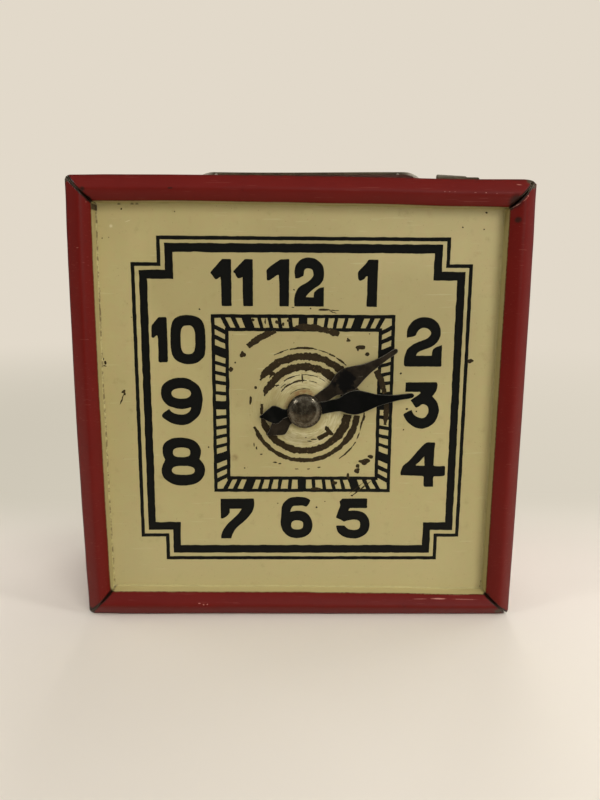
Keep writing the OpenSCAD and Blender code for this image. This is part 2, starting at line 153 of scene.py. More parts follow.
class Look:
    """A material whose nodes are added by short calls. Textures are placed in millimetres."""

    def __init__(self, name):
        self.material = bpy.data.materials.new(name)
        self.material.use_nodes = True
        self.tree = self.material.node_tree
        self.surface = self.tree.nodes["Principled BSDF"]
        self.place = self.add("TexCoord")["Object"]
        self.colour = None

    def feed(self, socket, value):
        if isinstance(value, Value):
            self.tree.links.new(value.socket, socket)
        elif value is not None:
            socket.default_value = value

    def add(self, kind, inputs=None, **settings):
        node = self.tree.nodes.new("ShaderNode" + kind)
        for key, value in settings.items():
            setattr(node, key, value)
        for key, value in (inputs or {}).items():
            self.feed(node.inputs[key], value)
        return Value(self, node)

    def math(self, operation, a, b=0.0, clamp=False):
        return self.add("Math", {0: a, 1: b}, operation=operation, use_clamp=clamp)

    def vector(self, operation, a, b=(0, 0, 0)):
        return self.add("VectorMath", {0: a, 1: b}, operation=operation)

    def split(self, value, kind="XYZ"):
        return self.add("Separate" + kind, {0: value})

    def mix(self, share, a, b):
        return self.add("Mix", {0: share, 6: a, 7: b}, data_type="RGBA")[2]

    def base(self, share, low, high):
        """Sets the colour that coats go over, between two colours."""
        self.colour = self.mix(share, srgb(*low), srgb(*high))

    def coat(self, share, *colour):
        """Lays a colour over the look where share is 1."""
        self.colour = self.mix(share, self.colour, srgb(*colour))

    def point(self, scale=(1, 1, 1), shift=(0, 0, 0), turn=(0, 0, 0)):
        """The place in millimetres, scaled, turned and shifted."""
        return self.add("Mapping", {"Vector": self.place, "Scale": [s / MM for s in scale],
                                    "Location": shift, "Rotation": turn})

    def noise(self, pitch, detail=3.0, rough=0.55, stretch=(1, 1, 1), seed=0.0, turn=(0, 0, 0)):
        """Noise of about 0 to 1 whose marks are about pitch wide, drawn out by stretch."""
        place = self.point([1 / (pitch * s) for s in stretch], (seed, seed * 1.7, seed * 0.6), turn)
        return self.add("TexNoise", {"Vector": place, "Scale": 1.0, "Detail": detail, "Roughness": rough})

    def bump(self, height, depth, normal=None):
        return self.add("Bump", {"Height": height, "Distance": depth * MM, "Strength": 1.0, "Normal": normal})

    def edge(self, radius):
        """1 close to an outer or inner edge of the mesh, 0 on flat faces, and the rounded normal."""
        soft = self.add("Bevel", {"Radius": radius * MM}, samples=6)
        facing = self.vector("DOT_PRODUCT", soft, self.add("NewGeometry")["Normal"])["Value"]
        return (1 - facing).step(0.02, 0.22), soft

    def upward(self):
        """1 on faces that look up, -1 on those that look down."""
        return self.split(self.add("NewGeometry")["Normal"])[2]

    def near(self, x, z, radius, soft):
        """1 within radius of a point of the face, fading to 0 over soft."""
        gap = self.vector("DISTANCE", self.point((1, 0, 1)), (x, 0, z))["Value"]
        return 1 - gap.step(radius, radius + soft)

    def dash(self, x, z, length, thick, turn):
        """1 inside a short soft dash on the face."""
        place = self.add("Mapping", {
            "Vector": self.point((1, 0, 1)), "Location": (x, 0, z), "Rotation": (0, turn, 0),
            "Scale": (length / 2, 1, thick / 2)}, vector_type="TEXTURE")
        wavy = self.vector("LENGTH", place)["Value"] + self.noise(0.25, 3, seed=21) * 0.9
        return 1 - wavy.step(0.9, 1.5)

    def from_arbor(self):
        """The offset from the arbor's axis, and its length."""
        offset = self.vector("SUBTRACT", self.point((1, 0, 1)), (HUB[0], 0, HUB[1]))
        return offset, self.vector("LENGTH", offset)["Value"]

    def facing(self, way, degrees, half):
        """1 where the way from the arbor is within half of a clock angle, fading over 15 degrees more."""
        x, z = on_clock((0, 0), 1, degrees)
        return self.vector("DOT_PRODUCT", way, (x, 0, z))["Value"].step(
            math.cos(math.radians(half + 15)), math.cos(math.radians(half)))

    def finish(self, roughness, normal=None, metal=0.0, specular=0.5):
        """Feeds the shader, and returns the material."""
        for name, value in (("Base Color", self.colour), ("Roughness", roughness), ("Normal", normal),
                            ("Metallic", metal), ("Specular IOR Level", specular)):
            self.feed(self.surface.inputs[name], value)
        return self.material


def cream_paint():
    """Yellowed cream lacquer: clouds, specks, hair scratches, and rubbed rings and rust round the arbor."""
    look = Look("cream_lacquer")
    look.base(look.noise(9, 4), (170, 157, 105), (179, 167, 115))
    look.coat(look.noise(2.2, 5, 0.7, seed=3).step(0.55, 0.8), 157, 144, 94)
    look.coat(look.noise(1.5, 3, 0.6, seed=23).step(0.4, 0.62) * 0.35, 178, 158, 110)
    # Darker soft patches over the dial's upper half and to the left of the arbor
    dim_patches = look.near(-1.3, 47, 12, 8) | look.near(-17, 54, 4, 7) | look.near(17, 48, 6, 8)
    look.coat((dim_patches | look.near(-10, 33, 8, 8) * 0.45) * 0.4, 146, 134, 88)
    # Paler towards the bottom of the dial
    _, _, z = look.split(look.point())
    look.coat((1 - z.step(2, 26)) * 0.3, 190, 178, 132)
    look.coat(look.noise(0.22, 1.5, seed=8).step(0.73, 0.78) * 0.55, 92, 74, 42)
    offset, radius = look.from_arbor()
    way = look.vector("NORMALIZE", offset)
    x, _, z = look.split(way)
    # A place for marks that run round the arbor, 0.3 long and 0.16 wide
    circling = look.add("CombineXYZ", {0: x / 0.3, 1: radius / 0.16, 2: z / 0.3})
    rings = look.add("TexNoise", {"Vector": circling, "Scale": 1.0, "Detail": 3.0})
    reach = 1 - radius.step(4.5, 11.0)
    look.coat(rings.step(0.52, 0.66) * reach * 0.4, 190, 181, 138)
    look.coat((1 - rings.step(0.3, 0.42)) * reach * 0.35, 118, 100, 62)
    ragged_noise = look.noise(1.1, 4, 0.65, seed=5)
    # Painted sheen: pale crescents on the boss's slope stand for its reflection of the bright room, broken by
    # the rubbed rings
    sheen = look.facing(way, 155, 55) + look.facing(way, 0, 45) * 0.5
    sheen = sheen * radius.band(3.9, 5.9, 0.6) * (rings + ragged_noise).step(0.75, 1.2)
    look.coat(sheen * 0.6, 208, 200, 160)
    halo = radius.band(2.6, 3.05, 0.45) * look.facing(way, -25, 50) * ragged_noise.step(0.3, 0.6)
    look.coat(halo * 0.75, 134, 92, 48)
    scrape = look.dash(-26.4, 63.75, 1.3, 0.12, -0.34) | look.near(-28.97, 63.0, 0.1, 0.25)
    look.coat(scrape * 0.6, 212, 203, 164)
    look.coat(look.near(-10.6, 26.4, 0.2, 0.7) * ragged_noise.step(0.3, 0.7) * 0.6, 110, 86, 46)
    rubbed = look.noise(0.35, 2, stretch=(14, 1, 1), seed=11, turn=(0, 0.7, 0)).step(0.66, 0.74)
    look.coat(rubbed * 0.22, 196, 190, 146)
    grain = look.noise(0.5, 4, 0.6, seed=2)
    height = look.noise(5, 2, seed=6) + grain * 0.05
    return look.finish(grain * 0.2 + 0.32, look.bump(height, 0.12), specular=0.3)


def printed_ink():
    """Flat black ink, thin in places, on the same lacquer."""
    look = Look("dial_ink")
    look.base(look.noise(0.7, 5, 0.75, seed=4).step(0.6, 0.82), (10, 11, 8), (34, 32, 23))
    roughness = look.noise(0.5, 3, seed=2) * 0.25 + 0.35
    return look.finish(roughness, look.bump(look.noise(5, 2, seed=6), 0.12), specular=0.14)


def rubbed_tin():
    """Sheet laid bare where the paint has gone: brown with rust, a little metal left in it."""
    look = Look("rubbed_brown_tin")
    look.base(look.noise(0.9, 4, 0.7), (33, 24, 11), (56, 45, 24))
    look.coat(look.noise(0.35, 3, seed=9).step(0.64, 0.74), 98, 78, 50)
    roughness = look.noise(0.3, 3, seed=1) * 0.3 + 0.45
    return look.finish(roughness, look.bump(look.noise(0.25, 3), 0.02), 0.1, 0.15)


def bare_tin():
    """Dull tin plate: fine drawn lines, grey clouds and spots of brown."""
    look = Look("bare_tin")
    lines = look.noise(0.16, 3, 0.7, stretch=(18, 1, 1), seed=2)
    clouds = look.noise(3.5, 4, 0.6, seed=5)
    look.base(clouds, (118, 114, 104), (150, 146, 134))
    look.coat(look.noise(0.8, 5, 0.7, seed=7).step(0.6, 0.72) * 0.7, 82, 62, 40)
    edge, soft = look.edge(0.12)
    look.coat(edge * 0.5, 176, 172, 160)
    return look.finish(lines * 0.2 + clouds * 0.2 + 0.22, look.bump(lines, 0.012, soft), 0.8)


def brown_tin():
    """Tin plate under a thin brown patina: olive brown, with grey clouds and darker spots.
    The handle's bends and two spots by them are painted highlights, and what looks down is painted lighter."""
    look = Look("brown_tin")
    clouds = look.noise(2.4, 5, 0.65, seed=5)
    look.base(clouds.step(0.3, 0.7), (66, 56, 38), (92, 82, 60))
    look.coat(look.noise(0.7, 5, 0.7, seed=7).step(0.56, 0.7) * 0.7, 52, 38, 24)
    lines = look.noise(0.16, 3, 0.7, stretch=(18, 1, 1), seed=2)
    edge, soft = look.edge(0.12)
    look.coat(edge * look.noise(1.5, 4, seed=3).step(0.5, 0.7) * 0.6, 140, 132, 112)
    x, _, z = look.split(look.point())
    # Painted highlights: the strap's bends and two glints beside them are drawn pale
    bends = (abs(x - 1.6) - clouds * 3.0).step(14.9, 16.6) * z.step(70.5, 71.5)
    painted_highlights = bends | (look.near(-14.7, 73.1, 0.15, 0.2) | look.near(17.25, 73.35, 0.15, 0.2))
    look.coat(painted_highlights * 0.8, 196, 190, 172)
    # Painted light: faces that look down are drawn lighter, as if lit from below
    look.coat(look.math("SUBTRACT", 0.8, look.upward().step(-0.9, -0.5), True), 150, 132, 100)
    return look.finish(lines * 0.2 + 0.38, look.bump(lines, 0.012, soft), 0.45)


def dark_steel():
    """Old steel with a dull shine: brown in the middle of the dome, lighter grey towards its rim."""
    look = Look("dark_steel")
    clouds = look.noise(0.8, 4, 0.65, seed=3)
    look.base(clouds.step(0.3, 0.7), (54, 45, 31), (92, 85, 70))
    _, radius = look.from_arbor()
    look.coat(radius.band(1.95, 2.35, 0.25) * clouds.step(0.25, 0.6) * 0.75, 124, 117, 100)
    look.coat(look.noise(0.7, 4, 0.7, seed=8).step(0.5, 0.66) * 0.7, 50, 34, 21)
    edge, soft = look.edge(0.1)
    look.coat(edge * 0.5, 112, 106, 92)
    return look.finish(clouds * 0.25 + 0.14, look.bump(look.noise(0.9, 2, seed=6), 0.035, soft), 0.85)


def hand_black(name, deep, worn, patch, wear_from, wear_to):
    """Black japanned tin: edges rubbed to metal, brown clouds, and one patch where it is still black."""
    look = Look(name)
    look.base(look.noise(2.6, 4, 0.6, seed=4).step(wear_from, wear_to), deep, worn)
    blots = (look.noise(1.1, 5, 0.7, seed=9) - 0.5) * 2.6
    look.coat((look.near(*patch, 0.6, 2.6) + blots).step(0.5, 0.75), 9, 9, 8)
    look.coat(look.noise(0.3, 3, 0.7, stretch=(4, 1, 1.5), seed=7).step(0.66, 0.76) * 0.4, 92, 86, 74)
    edge, soft = look.edge(0.16)
    look.coat(edge * look.noise(0.9, 4, seed=2).step(0.3, 0.5) * 0.8, 150, 144, 128)
    height = look.noise(1.8, 2, seed=3) + look.noise(0.2, 2) * 0.1
    roughness = look.noise(0.5, 4, seed=1) * 0.25 + 0.36
    return look.finish(roughness, look.bump(height, 0.03, soft), specular=0.07)


def brass():
    """Dull stamped brass, brown in spots and brighter on its edges."""
    look = Look("brass")
    clouds = look.noise(1.8, 5, 0.65, seed=2)
    look.base(clouds, (122, 96, 48), (172, 142, 80))
    look.coat(look.noise(0.6, 4, seed=6).step(0.6, 0.72) * 0.6, 78, 58, 30)
    edge, soft = look.edge(0.12)
    look.coat(edge * 0.6, 206, 176, 108)
    lines = look.noise(0.12, 2, stretch=(12, 1, 1), seed=4)
    return look.finish(clouds * 0.25 + 0.22, look.bump(lines, 0.008, soft), 0.9)


def red_coat(look):
    """Gives a look the colour of the red lacquer, and returns its roughness and height."""
    look.base(look.noise(7, 4, 0.6, seed=1), (93, 14, 8), (106, 20, 12))
    look.coat(look.noise(1.4, 5, 0.7, seed=9).step(0.58, 0.8) * 0.5, 74, 15, 10)
    for seed, turn in ((20, (0.4, 0.3, 0.2)), (21, (-0.5, 0.9, 1.1))):
        line = look.noise(0.14, 2, stretch=(40, 3, 1), seed=seed, turn=turn)
        look.coat(line.step(0.68, 0.74) * 0.4, 150, 84, 74)
    height = look.noise(4.5, 2, seed=6) + look.noise(0.5, 3) * 0.06
    return look.noise(1.1, 4, 0.6, seed=3) * 0.25 + 0.24, height


def red_paint():
    """Red lacquer on the plain tin walls, worn through along their edges to brown and then to dull tin."""
    look = Look("red_lacquer")
    roughness, height = red_coat(look)
    edge, soft = look.edge(0.22)
    chips = edge * look.noise(1.3, 5, 0.72, seed=12).step(0.44, 0.62)
    chips = chips | look.noise(0.9, 4, 0.7, seed=15).step(0.735, 0.8) * 0.7
    look.coat(chips.step(0.42, 0.5), 46, 28, 20)
    look.coat(chips.step(0.6, 0.72), 120, 110, 92)
    return look.finish(roughness, look.bump(height, 0.16, soft), specular=0.35)


def rim_paint():
    """Paint of a pressed rim. The colour attribute zone holds: red, slit's edge, outer brim, riser's foot."""
    look = Look("rim_lacquer")
    roughness, height = red_coat(look)
    lacquer = look.colour
    zone = look.add("Attribute", attribute_name="zone")
    red, slit, brim = look.split(zone, "Color")
    border = red + (look.noise(0.5, 4, 0.65, seed=13) - 0.5) * 0.5
    look.base(look.noise(1.2, 4, 0.7, seed=4), (174, 162, 110), (184, 172, 120))
    # Painted light: faces that look up, such as the bottom riser, are drawn lighter
    look.coat(look.upward().step(0.9, 0.99), 194, 180, 127)
    look.coat(zone["Alpha"] * look.noise(0.8, 5, 0.75, seed=17).step(0.43, 0.58) * 0.85, 90, 72, 40)
    look.colour = look.mix(border.step(0.42, 0.58), look.colour, lacquer)
    look.coat((1 - abs(border - 0.5)).step(0.8, 0.95) * 0.6, 80, 40, 20)
    _, _, z = look.split(look.point())
    frayed = slit * (look.noise(0.4, 4, 0.7, seed=14) + 0.42)
    look.coat(frayed.step(0.3, 0.5), 42, 26, 19)
    strip = look.mix(z.step(20, 50), srgb(54, 30, 20), srgb(72, 62, 48))
    look.colour = look.mix(frayed.step(0.72, 0.9), look.colour, strip)
    for spot in RIM_BARE:
        look.coat(look.near(*spot), 74, 64, 48)
    # Dark spots and streaks by the mitres, at the risers' inner corners and on the top riser
    dark_marks = look.near(-31.2, 65.7, 0.3, 0.35) * (1 - red.step(0.3, 0.7))
    for spot in RIM_DARK_SPOTS:
        dark_marks = dark_marks | look.near(*spot)
    for line in RIM_STREAKS:
        dark_marks = dark_marks | look.dash(*line)
    look.coat(dark_marks * look.noise(0.45, 4, 0.7, seed=18).step(0.1, 0.45) * 0.92, 40, 21, 14)
    # Pale dashes: painted highlights, glinting along the ridges and a slit's edge, and some pale scuffs
    for *line, share in RIM_GLINTS_AND_SCUFFS:
        look.coat(look.dash(*line) * share, 200, 140, 124)
    look.coat(brim * look.noise(1.6, 5, 0.7, seed=19).step(0.35, 0.65) * 0.6, 58, 34, 26)
    return look.finish(roughness, look.bump(height, 0.1), specular=0.2)


# Marks on the rim. Bare spots and dark spots have a place, a radius and a soft edge.
# Streaks have a place, a length, a thickness and a tilt; painted glints and scuffs have a strength too.
RIM_BARE = rows("""33.4,0.75,0.35,0.4 34.4,69.1,0.35,0.3 33.9,69.75,0.2,0.5 -34.8,69.3,0.2,0.3""")
RIM_DARK_SPOTS = rows("""34.6,69.5,0.15,0.2 -32,68,0.15,0.35 31.8,66.75,0.5,0.8 32.3,67.2,0.2,0.4
    32.33,64.1,0.25,0.35 -31.4,66.7,0.25,0.3 34.2,0.7,0.22,0.25 31.6,3.6,0.12,0.25 -34.5,0.8,0.5,0.3
    -27.6,66.1,0.1,0.3 -25.6,66.1,0.1,0.35 -24.9,66.15,0.1,0.3 30.9,4.8,0.05,0.3""")
RIM_STREAKS = rows("""-31.8,3.2,3.6,0.5,-0.75 32.3,2.8,2.6,0.22,0.8 -32.4,67.6,4.6,0.3,0.78
    32.6,67.2,4,0.4,-0.8 -19.2,68.2,0.9,0.3,0""")
RIM_GLINTS_AND_SCUFFS = rows("""32.2,69.15,1,0.16,0.1,0.6 -16.4,2.5,0.5,0.16,0,0.8 -15.7,2.3,0.35,0.2,0.5,0.7
    -15.1,2.35,0.3,0.2,-0.6,0.7 20.2,3,3,0.13,0,0.35 23.3,3,2.8,0.2,0.02,0.7 27.6,2.9,5,0.14,0.02,0.35
    -33.2,59.6,0.5,0.1,0,0.5 -31.7,66.2,0.15,0.15,0,0.8 21.1,68,0.16,0.1,0,0.6 21.8,68,0.3,0.08,0,0.5
    22.6,68,0.16,0.1,0,0.6 25.6,67.9,0.5,0.08,0,0.5 27.2,67.9,0.2,0.12,0,0.9 28.8,67.8,0.3,0.08,0,0.5
    33.35,68.05,0.2,0.15,0,1 33.5,67.5,0.22,0.18,0,1 31.95,66.15,1.8,0.09,-0.56,0.8
    33.1,67,1.1,0.09,-0.75,0.7""")


# Meshes

def new_object(name, verts, faces, materials, smooth=True):
    """An object in the scene, with a mesh of places in metres."""
    mesh = bpy.data.meshes.new(name)
    mesh.from_pydata(verts, [], faces)
    for material in materials:
        mesh.materials.append(material)
    for i, polygon in enumerate(mesh.polygons):
        polygon.use_smooth = smooth if isinstance(smooth, bool) else smooth[i]
    thing = bpy.data.objects.new(name, mesh)
    bpy.context.scene.collection.objects.link(thing)
    return thing


def new_piece(name, body, shape, materials, indices=(), smooth=True, nodes=()):
    """A mesh piece from places in millimetres, riding on a body and standing for CAD nodes."""
    verts, faces = shape
    piece = new_object(name, [Vector(v) * MM for v in verts], faces, materials, smooth)
    for polygon, index in zip(piece.data.polygons, indices):
        polygon.material_index = index
    piece.data.update()
    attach(piece, body)
    if nodes:
        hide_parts(*nodes)
    return piece


def bevel(piece, width, segments=2):
    modifier = piece.modifiers.new("edges", "BEVEL")
    modifier.width = width * MM
    modifier.segments = segments
    modifier.limit_method = "ANGLE"
    modifier.angle_limit = math.radians(35)
    modifier.harden_normals = False


def thicken(piece, thickness):
    modifier = piece.modifiers.new("sheet", "SOLIDIFY")
    modifier.thickness = thickness * MM
    modifier.offset = -1
    return modifier


def joined(shapes):
    """One shape, as vertices and faces, from several."""
    verts, faces = [], []
    for more_verts, more_faces in shapes:
        faces += [[v + len(verts) for v in face] for face in more_faces]
        verts += more_verts
    return verts, faces


def angles(step, first, last):
    """Multiples of a step in degrees, from first to before last, in radians."""
    return [math.radians(step * k) for k in range(first, last)]


def resample(points, step):
    """Points about step apart along a closed outline, with its own corners kept."""
    result = []
    for i, start in enumerate(points):
        end = points[(i + 1) % len(points)]
        count = max(1, round(math.dist(start, end) / step))
        result += [(lerp(start[0], end[0], k / count), lerp(start[1], end[1], k / count))
                   for k in range(count)]
    return result


def ragged(points, step, depth, pitch, seed):
    """A closed outline whose edge wanders by about depth, in waves of pitch and a third of it."""
    result = []
    for x, z in resample(points, step):
        move = [depth * (wobble(x, z, pitch, seed + side) + 0.5 * wobble(x, z, pitch / 3, seed + side))
                for side in (0.1, 4.3)]
        result.append((x + move[0], z + move[1]))
    return result


def rounded(text, step=0.16):
    """A closed outline from places written as x,z where ! marks a corner and the rest are smooth."""
    corner = [mark.endswith("!") for mark in text.split()]
    points = [Vector(place) for place in rows(text.replace("!", ""))]
    count = len(points)
    result = []
    for i in range(count):
        j = (i + 1) % count
        start, end = points[i], points[j]
        chord = end - start
        length = chord.length
        leave = chord if corner[i] else (end - points[i - 1]).normalized() * length
        arrive = chord if corner[j] else (points[(j + 1) % count] - start).normalized() * length
        steps = max(1, math.ceil(length / step))
        for k in range(steps):
            t = k / steps
            place = (start * (2 * t ** 3 - 3 * t ** 2 + 1) + leave * (t ** 3 - 2 * t ** 2 + t)
                     + end * (3 * t ** 2 - 2 * t ** 3) + arrive * (t ** 3 - t ** 2))
            result.append(tuple(place))
    return result


def on_clock(centre, radius, degrees):
    """The place at radius from centre, at an angle clockwise from the top."""
    angle = math.radians(degrees)
    return centre[0] + radius * math.sin(angle), centre[1] + radius * math.cos(angle)


def two_sided(count, place):
    """An outline that runs out along side 1 and back along side -1 of place(t, side)."""
    steps = [k / count for k in range(count + 1)]
    return [place(t, 1) for t in steps] + [place(t, -1) for t in steps[::-1]]


def arc_patch(centre, radius, width, start, end, seed, fray, ends):
    """A ragged band along an arc. It is half as wide at its two ends, if ends gives no widths."""
    first, last = ends or (width * 0.5, width * 0.5)
    length = math.radians(end - start) * radius

    def place(t, side):
        wide = lerp(first if t < 0.5 else last, width, ease(0, 1.6, min(t, 1 - t) * length))
        x, z = on_clock(centre, radius, lerp(start, end, t))
        move = fray * (wobble(x, z, 0.9, seed + side) + 0.7 * wobble(x, z, 0.25, seed + side))
        return on_clock(centre, radius + side * max(0.04, wide / 2 + move), lerp(start, end, t))

    return two_sided(max(4, round(length / 0.14)), place)


def blob(x, z, rx, rz, seed):
    """A ragged spot."""
    count = max(10, round(2 * math.pi * max(rx, rz) / 0.11))
    result = []
    for k in range(count):
        c, s = math.cos(2 * math.pi * k / count), math.sin(2 * math.pi * k / count)
        reach = 1 + 0.5 * wobble(c + x, s + z, 1.3, seed)
        result.append((x + rx * reach * c, z + rz * reach * s))
    return result


def streak(x0, z0, x1, z1, width, seed):
    """A ragged scratch from one place to another, pointed at both ends."""
    length = math.dist((x0, z0), (x1, z1))
    across = ((z0 - z1) / length, (x1 - x0) / length)

    def place(t, side):
        x, z = lerp(x0, x1, t), lerp(z0, z1, t)
        half = width / 2 * math.sqrt(max(0.0, math.sin(math.pi * t)))
        half = side * max(0.02, half * (1 + 0.6 * wobble(x, z, 0.4, seed + side)))
        return x + across[0] * half, z + across[1] * half

    return two_sided(max(4, round(length / 0.14)), place)


# The print on the dial, in order, as (paint, outline)

NUMERALS = {
    "eleven_left": """-12.15,58.2! -10.9,58.2! -10.75,58.1 -10.75,51.1! -10.85,51 -12.2,51! -12.3,51.15
    -12.35,54.3 -12.45,55.45! -12.7,55.3 -13.05,55.1 -13.3,55.2 -13.95,56.05! -13.95,56.2""",
    "eleven_right": """-8.6,58.2! -7.5,58.2! -7.4,58.1 -7.4,51! -8.9,51! -8.95,51.15 -9,53.6 -9,55.45!
    -9.25,55.35 -9.6,55.25 -9.8,55.35 -10.05,55.7 -10.15,56 -10.4,56.2! -10.4,56.4""",
    "twelve_one": """-3.25,58.1 -3,58.2! -1.8,58.25! -1.75,58.1 -1.8,51! -3.2,51! -3.3,51.15 -3.3,54.3
    -3.4,55.8! -3.65,55.8 -4.3,55.35 -4.85,55 -5.2,55! -5.25,55.15 -5.3,56.25! -5.25,56.6 -4.6,57.2""",
    "twelve_two": """-0.85,55.35! -0.95,56.25 -0.85,57.05 -0.5,57.7 0.15,58.25 1.05,58.5 2,58.4 2.9,57.9
    3.45,57.2 3.65,56.15 3.55,55.2 3.05,54.4 2.25,53.85 1.35,53.1 0.95,52.65 0.9,52.45! 2.05,52.45! 2.1,53
    2.15,53.2 2.9,53.85 3.65,54! 3.65,51! -0.95,51! -1,51.65 -0.85,52.85 -0.5,53.65 0,54.15 0.8,54.6
    1.55,55.15 1.95,55.75 1.95,56.25 1.8,56.65 1.35,56.85 0.8,56.8 0.55,56.45 0.5,56 0.45,55.7! 0.15,55.55
    -0.35,55.35""",
    "one": """10.65,58.25! 12,58.25! 12.05,58.1 12,54.95 12,51! 10.45,51! 10.35,51.2 10.4,53 10.4,55.7!
    10.25,55.7 9.9,55.3 9.3,55 9.1,55.1! 8.95,55.35 8.9,56.25 9.05,56.55 9.7,57.2 10.15,57.7 10.45,58.15""",
    "two": """16.9,46.2! 16.85,46.55 16.9,47.35 17.2,48.15 17.85,48.9 18.75,49.35 19.8,49.45 20.85,49.2
    21.65,48.6 22.1,47.85 22.25,46.95 22.1,46.15 21.7,45.45 21,44.85 19.95,44.4 19.15,44.1 18.7,43.8
    18.45,43.35! 20.95,43.35! 21,44.05 21.15,44.4 21.8,44.8 22.55,45.05! 22.55,43 22.6,41.75 22.45,41.6!
    16.8,41.6! 16.6,41.8 16.55,42.6 16.7,43.55 17.1,44.45 17.85,45.1 18.75,45.55 19.8,45.95 20.45,46.4
    20.7,46.95 20.45,47.4 19.95,47.7 19.4,47.75 18.9,47.55 18.5,47.1 18.3,46.6 17.95,46.4! 17.45,46.3""",
    "three": """16.95,39.05! 21.9,39.1! 22.1,38.75 22,37.85 21.65,37.15 21.35,36.8! 21.9,36.2 22.35,35.35
    22.55,34.4 22.3,33.3 21.9,32.5 21.2,31.9 20.15,31.45 19.15,31.5 18.2,31.95 17.45,32.6 16.95,33.3
    16.75,33.7! 16.9,33.95 18.1,34.55! 18.35,33.95 18.85,33.5 19.7,33.2 20.3,33.35 20.7,33.9 20.8,34.55
    20.6,35.15 20.15,35.45 19.7,35.45 19.25,35.1 18.85,34.9! 18.65,35.05 18.1,35.8 17.85,36.1! 18.1,36.35
    19,36.95 19.4,37.35! 19.3,37.5! 16.95,37.5!""",
    "four": """20.95,29.15 22,29.15! 22.15,29 22.1,27.9 22.05,25.35! 22.25,25.15 23.85,25.15! 24,24.95
    24,23.7! 23.85,23.45 22.2,23.35! 22.1,23.1 22.15,21.6! 20.75,21.55! 20.55,21.8 20.5,23.2! 20.3,23.4
    16.7,23.55! 16.65,23.9 16.85,24.85 17.05,25.2 18,26.05 19,27.3 19.8,28.25 20.5,28.95""",
    "five": """7.15,19.5! 11.15,19.55! 11.3,19.4 11.3,18.4 11.35,18 11.2,17.85! 8.45,17.85! 8.25,17.55
    8.25,17.4! 9.2,17.45 10.15,17.3 10.95,16.9 11.45,16.3 11.75,15.5 11.8,14.7 11.6,13.9 11.15,13.25
    10.4,12.75 9.5,12.5 8.45,12.55 7.65,12.75 6.85,13.25 6.4,13.9 6.2,14.7! 6.3,14.8! 7.6,14.8! 7.95,14.4
    8.55,14.1 9.5,14.05 10,14.25 10.2,14.85 10.1,15.45 9.6,15.8 8.85,15.8 8.05,15.65 7.5,15.45! 6.85,15.85
    6.2,16.15! 6.2,16.4 6.5,17.35 6.8,18.25 6.7,19.05!""",
    "six": """-0.1,19.8 0.95,19.7 1.55,19.45 1.85,19.2! 1.65,18.6 1.3,18.15 1.1,18.1! 0.55,18.25 -0.5,18.25
    -1,18.15 -1.35,17.65 -1.45,17.2! -1.05,17.3 -0.1,17.4 0.85,17.2 1.5,16.75 2,16.05 2.25,15.1 2.2,14.3
    1.9,13.55 1.25,12.95 0.45,12.65 -0.6,12.55 -1.55,12.8 -2.3,13.35 -2.8,14.05 -3.05,15.1 -3,16.55
    -2.9,17.85 -2.65,18.65 -2.05,19.3 -1.25,19.7""",
    "seven": """-13,19.45! -7.55,19.5! -7.45,19.25 -7.45,18.3 -7.7,17.3 -8.35,16.35 -9.15,15.5 -10,14.75
    -10.6,14.1 -11.05,13.3 -11.3,12.5! -13,12.5! -13,12.95 -12.7,13.9 -11.95,15 -11.1,15.85 -10.15,16.8
    -9.6,17.6 -9.55,17.7! -11.5,17.7! -11.5,17.05! -11.95,16.45 -12.7,16 -13,16.05!""",
    "eight": """-19.05,29.85 -17.95,29.65 -16.95,29.25 -16.35,28.55 -16.05,27.7 -16.1,26.9 -16.3,26.25!
    -15.95,25.8 -15.55,25.1 -15.45,24.25 -15.65,23.4 -16.15,22.65 -16.95,22.1 -17.95,21.8 -19.2,21.7
    -20.3,21.8 -21.15,22.15 -21.9,22.7 -22.4,23.4 -22.55,24.25 -22.4,25 -22.05,25.8 -21.95,26.2 -22.2,26.75
    -22.3,27.6 -22.2,28.35 -21.85,28.95 -21,29.55 -20.05,29.8""",
    "nine": """-19,39.65 -17.95,39.55 -17,39.05 -16.25,38.45 -15.8,37.6 -15.6,36.7 -15.6,35.7 -15.8,34.6
    -16.15,33.65 -16.95,32.75 -17.95,32.1 -19.2,31.9 -20.35,32.1 -21.25,32.55 -22,33.1 -22.2,33.45 -22,33.85
    -21.25,34.4 -21,34.6! -20.6,34.1 -20,33.8 -19.1,33.65 -18.25,33.8 -17.7,34.2 -17.5,34.7 -17.55,34.85!
    -18.4,34.6 -19.2,34.55 -20.35,34.8 -21.15,35.1 -21.85,35.85 -22.2,36.7 -22.2,37.55 -21.95,38.35
    -21.15,39.1 -20.05,39.55""",
    "ten_one": """-22.05,49.25! -21.1,49.25! -20.95,49.05 -20.95,42.35 -21.1,42.1! -22.25,42.1! -22.45,42.35
    -22.4,43.85 -22.45,46.2 -22.6,46.35! -23.05,46 -23.3,46! -23.4,46.15 -23.35,47.9! -23.15,48.15
    -22.6,48.8 -22.2,49.2""",
    "ten_nought": """-17.75,49.6 -16.65,49.45 -15.75,49.05 -15.2,48.3 -14.95,47.05 -14.95,44.55 -15.1,43.3
    -15.4,42.8 -16.1,42.2 -17.05,41.85 -18.15,41.85 -19.3,42.2 -19.95,42.75 -20.3,43.5 -20.45,44.85
    -20.4,46.9 -20.25,48 -19.9,48.8 -19.15,49.35""",
}
# Closed counters inside the numerals: middle, half-sizes and squareness
COUNTERS = [
    (-0.3, 14.9, 1.0, 0.8, 2.5), (-19.2, 27.35, 1.4, 0.8, 2.6), (-19.0, 24.3, 1.85, 0.75, 2.6),
    (-19.0, 37.1, 1.55, 0.85, 2.2), (-17.7, 45.7, 1.15, 2.25, 3.0),
]
FOUR_COUNTER = "20.45,26.75! 20.55,25.2! 19.25,25.2! 19.15,25.3 19.8,25.95"


